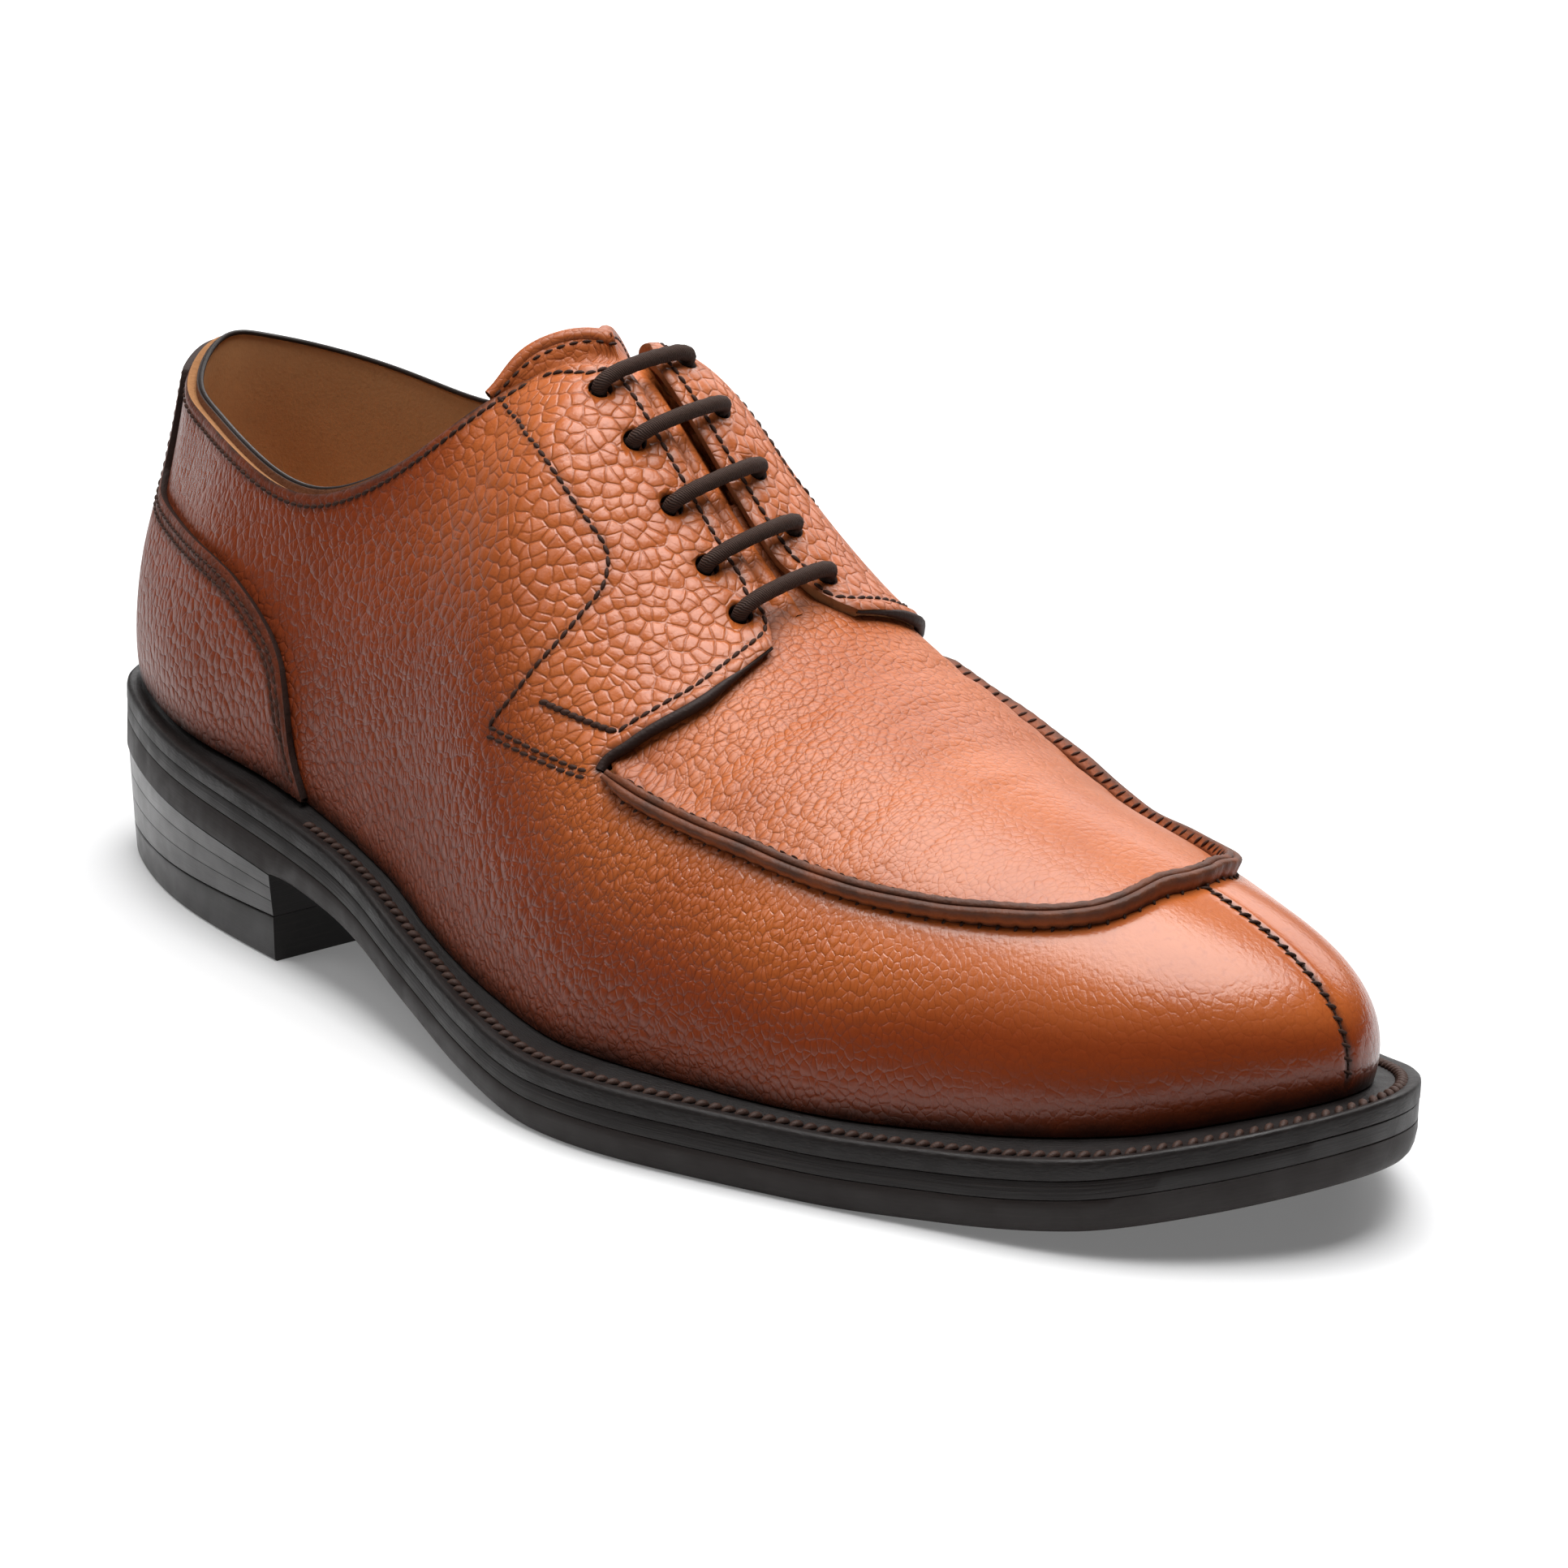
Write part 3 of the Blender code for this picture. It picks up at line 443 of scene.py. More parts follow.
def away(points, line):
    """Distance in mm from each point to the nearest point of a finely sampled line."""
    tree = KDTree(len(line))
    for i, p in enumerate(line):
        tree.insert(p, i)
    tree.balance()
    flat = points.reshape(-1, 3)
    return np.array([tree.find(p)[2] for p in flat]).reshape(points.shape[:-1])


# %% [markdown]
# ## Lines for seams and stitches
# A stitch line is drawn by a few knots, each a row and a height on the section. A smooth curve goes
# through them, and even steps along it give the places of the stitches.


# %% Smooth lines
def through(knots, each=24):
    """A smooth curve through points of any dimension, with that many steps between two of them."""
    k = np.array(knots, float)
    k = np.vstack((2 * k[0] - k[1], k, 2 * k[-1] - k[-2]))
    w = np.linspace(0, 1, each, endpoint=False)[:, None]
    parts = []
    for a, b, c, d in zip(k, k[1:], k[2:], k[3:]):
        parts.append(b + 0.5 * w * (c - a + w * (2 * a - 5 * b + 4 * c - d + w * (3 * (b - c) + d - a))))
    return np.vstack(parts + [k[-2:-1]])


def run_of(points):
    """Length along a line up to each of its points."""
    return np.concatenate(([0], np.cumsum(np.linalg.norm(np.diff(points, axis=0), axis=1))))


def even(points, step):
    """Places of even steps along a line, as fractions of its index."""
    length = run_of(points)
    count = max(2, int(round(length[-1] / step)) + 1)
    return np.interp(np.linspace(0, length[-1], count), length, np.arange(len(points)))


def pick(values, at):
    """Values of an array at fractions of its index."""
    i = np.clip(np.floor(at).astype(int), 0, len(values) - 2)
    w = (at - i).reshape((-1,) + (1,) * (values.ndim - 1))
    return values[i] * (1 - w) + values[i + 1] * w


print("length of the feather line:", run_of(metres(section(LOOP, 0.0)))[-1].round(3), "m")

# %% Stitch lines of a facing
LINE_STEP = 0.4
FACING_STITCH = ((6.08, 0.985), (6.42, 0.823), (6.84, 0.703), (7.14, 0.677), (7.5, 0.68), (7.76, 0.693),
                 (7.88, 0.70), (7.97, 0.695), (8.03, 0.67), (8.04, 0.645), (8.02, 0.61), (7.96, 0.537),
                 (7.86, 0.463), (7.74, 0.39), (7.58, 0.32))
CORNER_STITCH = ((7.58, 0.32), (7.92, 0.357), (8.28, 0.397), (8.6, 0.433))
TACK = ((8.0, 0.437), (8.33, 0.48), (8.66, 0.523))


def surface_line(knots):
    """Points and normals of a line on the upper through (row, height) knots, in even steps."""
    ut = through(knots)
    u, t = pick(ut, even(section(ut[:, 0], ut[:, 1]), LINE_STEP)).T
    return section(u, t), normal(u, t)


def mirrored(knots):
    """The same knots on the inner side of the foot."""
    return tuple((ROWS - u, t) for u, t in knots)


print("facing stitch is", round(LINE_STEP * len(surface_line(FACING_STITCH)[0])), "mm long")

# %% [markdown]
# ## Shader tools
# Leather, thread and rubber share a few effects: pebbled grain, a mottled tone, darkened edges and
# fine lines along a cut edge. Each is a node group, so it is built once and tuned in each material.
# A few helpers keep the node code short: each adds one node and gives back the socket that matters.


# %% Node helpers
def add_node(tree, kind, inputs=None, **settings):
    """Adds a node, sets its options and fills its inputs with values or links."""
    made = tree.nodes.new(kind)
    for name, value in settings.items():
        setattr(made, name, value)
    for name, value in (inputs or {}).items():
        if isinstance(value, bpy.types.NodeSocket):
            tree.links.new(value, made.inputs[name])
        else:
            made.inputs[name].default_value = value
    return made


def calc(tree, how, a, b):
    return add_node(tree, "ShaderNodeMath", {0: a, 1: b}, operation=how).outputs[0]


def vector_calc(tree, how, inputs, result="Vector"):
    return add_node(tree, "ShaderNodeVectorMath", inputs, operation=how).outputs[result]


def ramp(tree, value, low, high, start=0.0, stop=1.0):
    """A soft ramp of a value between two limits."""
    limits = {"Value": value, "From Min": low, "From Max": high, "To Min": start, "To Max": stop}
    return add_node(tree, "ShaderNodeMapRange", limits, interpolation_type="SMOOTHSTEP").outputs["Result"]


def blend(tree, share, a, b):
    """Mixes two colours by a share."""
    return add_node(tree, "ShaderNodeMix", {0: share, 6: a, 7: b}, data_type="RGBA").outputs[2]


def noise(tree, place, scale, detail=3.0, result="Fac"):
    made = add_node(tree, "ShaderNodeTexNoise", {"Vector": place, "Scale": scale, "Detail": detail})
    return made.outputs[result]


def object_place(tree):
    return add_node(tree, "ShaderNodeTexCoord").outputs["Object"]


def map_place(tree):
    return add_node(tree, "ShaderNodeUVMap").outputs["UV"]


def attribute(tree, name):
    return add_node(tree, "ShaderNodeAttribute", attribute_name=name).outputs["Fac"]


# %% Groups and materials
def new_group(name, inputs, outputs):
    """A shader node group with named sockets: the tree, what it is given and what it gives."""
    tree = bpy.data.node_groups.new(name, "ShaderNodeTree")
    kinds = {float: "NodeSocketFloat", tuple: "NodeSocketColor", list: "NodeSocketVector"}
    for label, value in inputs:
        socket = tree.interface.new_socket(label, in_out="INPUT", socket_type=kinds[type(value)])
        socket.default_value = value
    for label, kind in outputs:
        tree.interface.new_socket(label, in_out="OUTPUT", socket_type=kinds[kind])
    given = tree.nodes.new("NodeGroupInput").outputs
    gives = tree.nodes.new("NodeGroupOutput").inputs
    return tree, given, gives


def use_group(tree, name, inputs):
    """Puts a node group into a material and gives back its outputs."""
    return add_node(tree, "ShaderNodeGroup", inputs, node_tree=bpy.data.node_groups[name]).outputs


def new_material(name):
    """An empty material with a Principled shader: its tree and the shader's inputs."""
    material = bpy.data.materials.new(name)
    material.use_nodes = True
    tree = material.node_tree
    return material, tree, tree.nodes["Principled BSDF"].inputs


def add_relief(tree, shader, height, relief, strength=1.0):
    """Turns a height into the shader's Normal by a Bump node; relief in mm."""
    bump = add_node(tree, "ShaderNodeBump", {"Height": height, "Strength": strength, "Distance": relief * MM})
    tree.links.new(bump.outputs[0], shader["Normal"])


def set_surface(shader, rough, gloss):
    shader["Roughness"].default_value = rough
    shader["Specular IOR Level"].default_value = gloss


print("node helpers ready")

# %% [markdown]
# ## Shared effects
# Pebbled leather is small cushions with thin valleys between them. A Voronoi texture gives both: the
# distance to the heart of a cell shapes a round dome, the distance to its edge the valley, once a
# noise has bent the cells out of line; the valleys get painted shade. Burnish is the dark shine that a
# maker rubs into edges and seams; the panels carry it as a point attribute, together with painted
# shade just above the welt and under the facing tabs, and a noise breaks it up.

# %% Pebbled grain
BEND_SCALE, BEND_REACH = 24.0, 0.014
HEART_REACH, WALL_REACH, VALLEY_REACH = 0.75, 0.14, 0.11
DOME_SHARE, WALL_SHARE = 0.78, 0.22
grain, given, gives = new_group("pebble_grain", (("Size", 2.2), ("Stretch", [1.0, 1.0, 1.0]),
                                                 ("Turn", [0.0, 0.0, 0.0])),
                                (("Height", float), ("Valley", float)))
place = map_place(grain)
bend = vector_calc(grain, "SUBTRACT", {0: noise(grain, place, BEND_SCALE, 2.0, "Color"), 1: (0.5, 0.5, 0.5)})
bent = vector_calc(grain, "ADD", {0: place, 1: vector_calc(grain, "SCALE", {0: bend, "Scale": BEND_REACH})})
bent = add_node(grain, "ShaderNodeMapping", {"Vector": bent, "Rotation": given["Turn"]}).outputs[0]
bent = vector_calc(grain, "MULTIPLY", {0: bent, 1: given["Stretch"]})
laid = {"Vector": bent, "Scale": calc(grain, "DIVIDE", 100.0, given["Size"]), "Randomness": 0.88}
to_edge, to_heart = [add_node(grain, "ShaderNodeTexVoronoi", laid, feature=feature,
                              voronoi_dimensions="2D").outputs["Distance"]
                     for feature in ("DISTANCE_TO_EDGE", "F1")]
from_heart = calc(grain, "MINIMUM", calc(grain, "DIVIDE", to_heart, HEART_REACH), 1.0)
pillow = calc(grain, "SUBTRACT", 1.0, calc(grain, "MULTIPLY", from_heart, from_heart))
wall = calc(grain, "MULTIPLY", ramp(grain, to_edge, 0.0, WALL_REACH), WALL_SHARE)
dome = calc(grain, "ADD", calc(grain, "MULTIPLY", pillow, DOME_SHARE), wall)
grain.links.new(dome, gives["Height"])
grain.links.new(ramp(grain, to_edge, 0.0, VALLEY_REACH, 1.0, 0.0), gives["Valley"])
print("group", grain.name)

# %% Mottled tone and burnish
GREY, DARK_GREY, BLACK = (0.5, 0.5, 0.5, 1.0), (0.2, 0.2, 0.2, 1.0), (0.1, 0.1, 0.1, 1.0)
tone, given, gives = new_group("leather_tone", (("Color", GREY), ("Deep", DARK_GREY)), (("Color", tuple),))
place = object_place(tone)
cloud = ramp(tone, noise(tone, place, 38.0, 4.0), 0.35, 0.75, 0.0, 0.35)
speck = ramp(tone, noise(tone, place, 900.0, 2.0), 0.5, 0.8, 0.0, 0.25)
tone.links.new(blend(tone, calc(tone, "ADD", cloud, speck), given["Color"], given["Deep"]), gives["Color"])

# The burnish attribute carries burnish on edges and seams, and painted shade just above the welt and under
# the facing tabs.
burnish, given, gives = new_group("burnish_tint", (("Color", GREY), ("Dark", BLACK)),
                                  (("Color", tuple), ("Mask", float)))
broken = ramp(burnish, noise(burnish, object_place(burnish), 220.0, 4.0), 0.3, 0.7, 0.65, 1.15)
mask = add_node(burnish, "ShaderNodeMath", {0: attribute(burnish, "burnish"), 1: broken},
                operation="MULTIPLY", use_clamp=True).outputs[0]
burnish.links.new(blend(burnish, mask, given["Color"], given["Dark"]), gives["Color"])
burnish.links.new(mask, gives["Mask"])
print("groups", tone.name, burnish.name)

# %% Lines along a cut edge
lines, given, gives = new_group("edge_lines", (("Along", 30.0), ("Across", 900.0)),
                                (("Height", float), ("Streak", float)))
split = add_node(lines, "ShaderNodeSeparateXYZ", {0: map_place(lines)}).outputs
drawn = {i: calc(lines, "MULTIPLY", split[i], given[name]) for i, name in enumerate(("Along", "Across"))}
fibre = noise(lines, add_node(lines, "ShaderNodeCombineXYZ", drawn).outputs[0], 1.0, 3.0)
lines.links.new(fibre, gives["Height"])
lines.links.new(ramp(lines, fibre, 0.5, 0.75), gives["Streak"])
print("group", lines.name)

# %% [markdown]
# ## Tan leather
# The upper is of one kind of semi-gloss leather: boldly pebbled on the facings, finer on quarters and
# apron, almost smooth at the toe. Its steep sides are painted darker than its tops by their slope: this
# is painted shade, deeper than the lights of this scene give. One function makes every panel's
# leather. Four attributes tell it where: pebble and fine for the two grains, deep for the painted shade
# and burnish for the rubbed edges, which also holds some painted shade.

# %% Tan grain leather
TAN = (0.46, 0.116, 0.024, 1.0)
TAN_DEEP = (0.25, 0.040, 0.008, 1.0)
# Painted shade: the darker colour that the deep attribute gives the steep sides by their slope.
TAN_PAINTED_SHADE = (0.165, 0.022, 0.0035, 1.0)
TAN_VALLEY_SHADE = (0.10, 0.014, 0.004, 1.0)
BURNT_AND_SHADE = (0.035, 0.011, 0.005, 1.0)
VALLEY_SHARE, FINE_VALLEY, FINE_HEIGHT, PORE_HEIGHT, DULLED = 0.34, 0.9, 0.5, 0.18, 0.2
FINE_TURN = (0.0, 0.0, 0.4)
EVEN = (1.0, 1.0, 1.0)


def grain_leather(name, bold_size, fine_size, stretch, relief, rough, gloss):
    """Tan leather with bold and fine pebbles; sizes and relief in mm."""
    material, tree, shader = new_material(name)
    bold = use_group(tree, "pebble_grain", {"Size": bold_size, "Stretch": stretch})
    fine = use_group(tree, "pebble_grain", {"Size": fine_size, "Stretch": stretch, "Turn": FINE_TURN})
    by_bold, by_fine = attribute(tree, "pebble"), attribute(tree, "fine")

    def both(effect, fine_share):
        fine_part = calc(tree, "MULTIPLY", fine[effect], calc(tree, "MULTIPLY", by_fine, fine_share))
        return calc(tree, "ADD", calc(tree, "MULTIPLY", bold[effect], by_bold), fine_part)

    # Painted shade: the deep attribute darkens the steep sides by their slope.
    slope_shaded_tan = blend(tree, attribute(tree, "deep"), TAN, TAN_PAINTED_SHADE)
    colour = use_group(tree, "leather_tone", {"Color": slope_shaded_tan, "Deep": TAN_DEEP})["Color"]
    # Painted shade: the valleys of the grain are darker.
    valley = calc(tree, "MULTIPLY", both("Valley", FINE_VALLEY), VALLEY_SHARE)
    shaded = blend(tree, valley, colour, TAN_VALLEY_SHADE)
    edge = use_group(tree, "burnish_tint", {"Color": shaded, "Dark": BURNT_AND_SHADE})
    tree.links.new(edge["Color"], shader["Base Color"])
    pores = calc(tree, "MULTIPLY", noise(tree, object_place(tree), 1300.0, 2.0), PORE_HEIGHT)
    add_relief(tree, shader, calc(tree, "ADD", both("Height", FINE_HEIGHT), pores), relief)
    dull = calc(tree, "ADD", calc(tree, "MULTIPLY", by_bold, 0.5), edge["Mask"])
    tree.links.new(ramp(tree, dull, 0.0, 1.0, rough, rough + DULLED), shader["Roughness"])
    shader["Specular IOR Level"].default_value = gloss
    return material


side_leather = grain_leather("tan_pebble_leather", 2.1, 1.5, EVEN, 0.34, 0.26, 0.48)
apron_leather = grain_leather("tan_apron_leather", 1.8, 1.3, (1.3, 0.8, 1.0), 0.2, 0.34, 0.45)
counter_leather = grain_leather("tan_counter_leather", 1.9, 1.4, (1.0, 0.8, 1.0), 0.4, 0.28, 0.4)
tongue_leather = grain_leather("tan_tongue_leather", 2.1, 1.4, EVEN, 0.28, 0.38, 0.4)
print("tan leathers:", [m.name for m in bpy.data.materials if m.name.startswith("tan_")])

# %% [markdown]
# ## Edges, lining and thread
# Cut edges show the fibres of the hide: dressed dark on the tabs, left pale on the lining and like
# suede in the throat. Lining, insole, bead and thread are plain too, so one function with a mottled
# tone and fine fibres serves them all. The standing seam is burnished on top and at its foot.


# %% Plain leathers and thread
def plain_leather(name, colour, deep, rough, relief, scale):
    """Leather without pebbles: a mottled tone and fine fibres; relief in mm."""
    material, tree, shader = new_material(name)
    mottled = use_group(tree, "leather_tone", {"Color": colour + (1.0,), "Deep": deep + (1.0,)})
    tree.links.new(mottled["Color"], shader["Base Color"])
    add_relief(tree, shader, noise(tree, object_place(tree), scale, 3.0), relief)
    set_surface(shader, rough, 0.25)
    return material


raw_edge = plain_leather("dark_cut_edge", (0.022, 0.009, 0.006), (0.008, 0.004, 0.003), 0.6, 0.12, 1800.0)
pale_edge = plain_leather("pale_cut_edge", (0.19, 0.08, 0.04), (0.07, 0.027, 0.013), 0.7, 0.2, 1500.0)
suede_edge = plain_leather("suede_cut_edge", (0.30, 0.14, 0.055), (0.10, 0.04, 0.016), 0.9, 0.3, 900.0)
lining = plain_leather("natural_lining_leather", (0.52, 0.27, 0.12), (0.36, 0.16, 0.06), 0.62, 0.06, 1400.0)
bead_leather = plain_leather("dark_collar_bead", (0.018, 0.012, 0.01), (0.008, 0.006, 0.005), 0.4, 0.05,
                             1500.0)
insole_leather = plain_leather("insole_leather", (0.50, 0.27, 0.13), (0.34, 0.16, 0.07), 0.6, 0.05, 1200.0)
thread = plain_leather("dark_brown_thread", (0.04, 0.014, 0.007), (0.015, 0.006, 0.004), 0.7, 0.08, 3500.0)
welt_thread = plain_leather("brown_welt_thread", (0.05, 0.025, 0.018), (0.02, 0.01, 0.007), 0.6, 0.08, 3500.0)
print("plain leathers and threads made")

# %% Leather of the standing seam
lip_leather, tree, shader = new_material("burnished_lip_leather")
LIP_TAN, LIP_DEEP, LIP_BURNT = (0.26, 0.062, 0.014, 1.0), (0.08, 0.02, 0.007, 1.0), (0.052, 0.02, 0.011, 1.0)
colour = use_group(tree, "leather_tone", {"Color": LIP_TAN, "Deep": LIP_DEEP})["Color"]
lip = use_group(tree, "burnish_tint", {"Color": colour, "Dark": LIP_BURNT})
tree.links.new(lip["Color"], shader["Base Color"])
add_relief(tree, shader, noise(tree, object_place(tree), 1400.0, 3.0), 0.15)
set_surface(shader, 0.55, 0.3)
print("made", lip_leather.name)

# %% [markdown]
# ## Sole, heel and lace
# The edges of welt, sole and heel are sanded, dyed dark and waxed, which leaves fine lines along them;
# the heel gets the most wax, as a thin clear coat. The lace is a round woven cord: a slanted wave on
# its own map gives the strands.


# %% Edge finishes
def edge_finish(name, colour, streak, rough, along, across, relief, coat):
    """A dressed sole or heel edge: dark, with fine lines that run along it."""
    material, tree, shader = new_material(name)
    drawn = use_group(tree, "edge_lines", {"Along": along, "Across": across})
    share = calc(tree, "MULTIPLY", drawn["Streak"], 0.6)
    tree.links.new(blend(tree, share, colour, streak), shader["Base Color"])
    wear = noise(tree, object_place(tree), 160.0, 4.0)
    tree.links.new(ramp(tree, wear, 0.3, 0.7, rough - 0.06, rough + 0.08), shader["Roughness"])
    add_relief(tree, shader, drawn["Height"], relief)
    shader["Specular IOR Level"].default_value = 0.3
    shader["Coat Weight"].default_value = coat
    shader["Coat Roughness"].default_value = 0.3
    return material


WELT_DARK, WELT_STREAK = (0.008, 0.0055, 0.005, 1.0), (0.02, 0.014, 0.012, 1.0)
SOLE_DARK, SOLE_STREAK = (0.011, 0.0085, 0.008, 1.0), (0.024, 0.018, 0.016, 1.0)
RUBBER_DARK, RUBBER_STREAK = (0.014, 0.0095, 0.0085, 1.0), (0.02, 0.014, 0.012, 1.0)
welt_leather = edge_finish("waxed_welt_leather", WELT_DARK, WELT_STREAK, 0.5, 60.0, 200.0, 0.1, 0.0)
midsole_edge = edge_finish("midsole_edge", SOLE_DARK, SOLE_STREAK, 0.45, 6.0, 260.0, 0.06, 0.0)
heel_edge = edge_finish("black_heel_edge", SOLE_DARK, SOLE_STREAK, 0.42, 5.0, 240.0, 0.06, 0.45)
heel_rubber = edge_finish("black_top_piece", SOLE_DARK, SOLE_STREAK, 0.45, 12.0, 200.0, 0.03, 0.3)
rubber = edge_finish("dark_sole_rubber", RUBBER_DARK, RUBBER_STREAK, 0.52, 12.0, 200.0, 0.03, 0.0)
print("sole finishes made")

# %% Lace cotton
lace_cotton, tree, shader = new_material("waxed_lace_cotton")
WEAVE_TURN, WEAVE_SCALE = (0.0, 0.0, 0.6), (110.0, 60.0, 1.0)
COTTON_DARK, COTTON_BROWN = (0.022, 0.011, 0.008, 1.0), (0.06, 0.032, 0.023, 1.0)
slanted_map = {"Vector": map_place(tree), "Rotation": WEAVE_TURN, "Scale": WEAVE_SCALE}
weave = add_node(tree, "ShaderNodeMapping", slanted_map).outputs[0]
waves = {"Vector": weave, "Scale": 1.0, "Distortion": 1.5}
strand = add_node(tree, "ShaderNodeTexWave", waves).outputs["Fac"]
tree.links.new(blend(tree, strand, COTTON_DARK, COTTON_BROWN), shader["Base Color"])
add_relief(tree, shader, strand, 0.15, 0.8)
set_surface(shader, 0.75, 0.2)
print("made", lace_cotton.name)

# %% [markdown]
# ## Sides
# The quarters, the facings and the sides of the vamp are one hide from the back of the heel to the
# split toe. It is one grid: columns go round the foot, levels climb from the welt, and the front
# columns stop at the apron seam while the rear ones go on up to the collar and the throat. The top
# corner of each facing is cut a little lower, so that the tongue shows above it.

# %% Where the side panel ends
CORNER = float(seam_height(8.65))
LOW, HIGH = 31, 32
FACING_TOP = ((5.9, 1.0), (6.08, 0.992), (6.3, 0.972), (6.52, 0.943), (6.75, 0.913), (6.92, 0.90),
              (7.05, 0.915), (7.15, 0.94), (7.25, 1.0))


def mouth_height(u):
    """Height on the section of the collar and the throat, u counted from the back of the heel."""
    return np.minimum(edge_height(u), smooth_table(FACING_TOP, np.abs(u)))


around = np.concatenate((np.linspace(-TIP, -TAB, 98)[:-1], np.linspace(-TAB, TAB, 301),
                         np.linspace(TAB, TIP, 98)[1:]))
rear = np.abs(around) <= TAB + 1e-6
stop = np.where(rear, CORNER, seam_height(slanted(around % ROWS, seam_height(around))))
top = np.where(rear, mouth_height(around), stop)
levels = np.vstack([stop * w for w in np.linspace(0, 1, LOW)]
                   + [stop + (top - stop) * w for w in np.linspace(0, 1, HIGH)[1:]])
side_u = slanted(np.broadcast_to(around % ROWS, levels.shape), levels)
side_n = normal(side_u, levels)
side_p = section(side_u, levels)
print("side panel grid:", levels.shape)

# %% Eyelets and rims on the panel
EYELET_ROWS, EYELET_OUT, EYELET_R = (7.25, 7.65, 8.05, 8.45, 8.83), 10.0, 2.1
eyelet_u = np.array(EYELET_ROWS + tuple(ROWS - u for u in EYELET_ROWS))
eyelet_t = height_at(eyelet_u, EYELET_OUT)
eyelet_p, eyelet_n = section(eyelet_u, eyelet_t), normal(eyelet_u, eyelet_t)
tab_columns = {"inner": np.flatnonzero(rear)[0], "outer": np.flatnonzero(rear)[-1]}
tab_lines = {label: side_p[LOW - 1:, k] for label, k in tab_columns.items()}
tab_line = np.vstack([through(line, 4) for line in tab_lines.values()])
rim_line = np.vstack((through(side_p[-1, rear], 4), tab_line))
print("eyelets:", len(eyelet_u), "rim points:", len(rim_line))

# %% Stitch and seam lines on the panel
TAB_STITCH = [(8.92, 0.923), (9.04, 0.877), (8.98, 0.723), (8.84, 0.62), (8.68, 0.527)]
THROAT_STITCH = [(6.55, 0.90), (6.75, 0.872), (6.92, 0.858), (7.06, 0.868)]
THROAT_INSET, COLLAR_INSET, SEAM_START = 2.9, 2.2, 8.75
throat_u = np.linspace(7.18, 8.75, 22)
throat_t = height_at(throat_u, throat_gap(throat_u) + THROAT_INSET)
throat = THROAT_STITCH + list(zip(throat_u, throat_t)) + TAB_STITCH
collar_u = np.linspace(-6.4, 6.4, 90)
steep = np.linalg.norm(section(collar_u, 0.97) - section(collar_u, 0.93), axis=1) / 0.04
collar = list(zip(collar_u, mouth_height(collar_u) - COLLAR_INSET / steep))
edge_stitch = [surface_line(k) for k in (mirrored(throat), collar, throat)]
facing_stitch = [surface_line(k) for k in (FACING_STITCH, mirrored(FACING_STITCH))]
corner_knots = [CORNER_STITCH, tuple((u, t - 0.012) for u, t in CORNER_STITCH), TACK]
corner_stitch = [surface_line(k) for k in corner_knots + [mirrored(k) for k in corner_knots]]
seam_u = np.linspace(SEAM_START, ROWS - SEAM_START, 400)
seam_line = section(seam_u, seam_height(seam_u))
split_stitch = surface_line(((TIP, 0.84), (TIP, 0.6), (TIP, 0.3), (TIP, 0.06)))
print("edge stitch lines:", [len(p) for p, n in edge_stitch])

# %% [markdown]
# ## Relief of the sides
# Stitching pulls leather in, so every stitch line and seam is pressed in as a soft trough with a bell
# shape across it. The tabs are thicker at their front edge, and a slow wave takes the machine-made
# evenness out of the hide.


# %% Troughs and swells
def bell(distance, width):
    return np.exp(-(distance / width) ** 2)


def trough(distance, depth, width):
    return -depth * bell(distance, width)


def all_points(stitch_lines):
    return np.vstack([points for points, outs in stitch_lines])


rim_away, tab_away = away(side_p, rim_line), away(side_p, tab_line)
edge_away = away(side_p, all_points(edge_stitch))
facing_away = away(side_p, all_points(facing_stitch))
corner_away = away(side_p, all_points(corner_stitch))
seam_away, split_away = away(side_p, seam_line), away(side_p, split_stitch[0])
eyelet_away = away(side_p, eyelet_p)
foot_away = np.linalg.norm(side_p - side_p[:1], axis=-1)

WAVES = np.array(((0.11, 0.05, 0.02), (0.03, 0.09, 0.12), (0.05, 0.16, -0.14)))
relief = (trough(edge_away, 0.32, 0.6) + trough(facing_away, 0.26, 0.7) + trough(corner_away, 0.22, 0.7)
          + trough(seam_away, 0.7, 1.7) + trough(split_away, 0.55, 0.5) + trough(eyelet_away, 0.35, 3.0)
          + trough(rim_away, 0.35, 0.7) + 0.16 * bell(rim_away - 1.6, 0.7)
          + 0.08 * bell(split_away - 2.0, 1.0) + 0.7 * bell(tab_away, 3.5)
          + 0.09 * np.sin(side_p @ WAVES).sum(-1))
print("relief from", relief.min().round(2), "to", relief.max().round(2), "mm")

# %% [markdown]
# ## Grain, burnish and painted shade of the sides
# Leather is stretched over the last, so its grain changes along the panel: bold on the facings, finer
# on the quarter and the vamp, nearly smooth at the toe. Burnish lies along edges, seams and thread.
# Painted shade lies just above the welt and on the steep sides. All of it is written to the points of
# the grid, where the material reads it.

# %% What the side panel carries
sides = lay_grid("sides", side_p + relief[..., None] * side_n, side_n)
sx, sz = side_p[..., 0], side_p[..., 2]
throat_part = soft_step((from_heel(side_u) - 6.3) / 0.4) * soft_step((levels - 0.6) / 0.15)
near = bell(rim_away, 1.0) * (1 - 0.55 * throat_part)
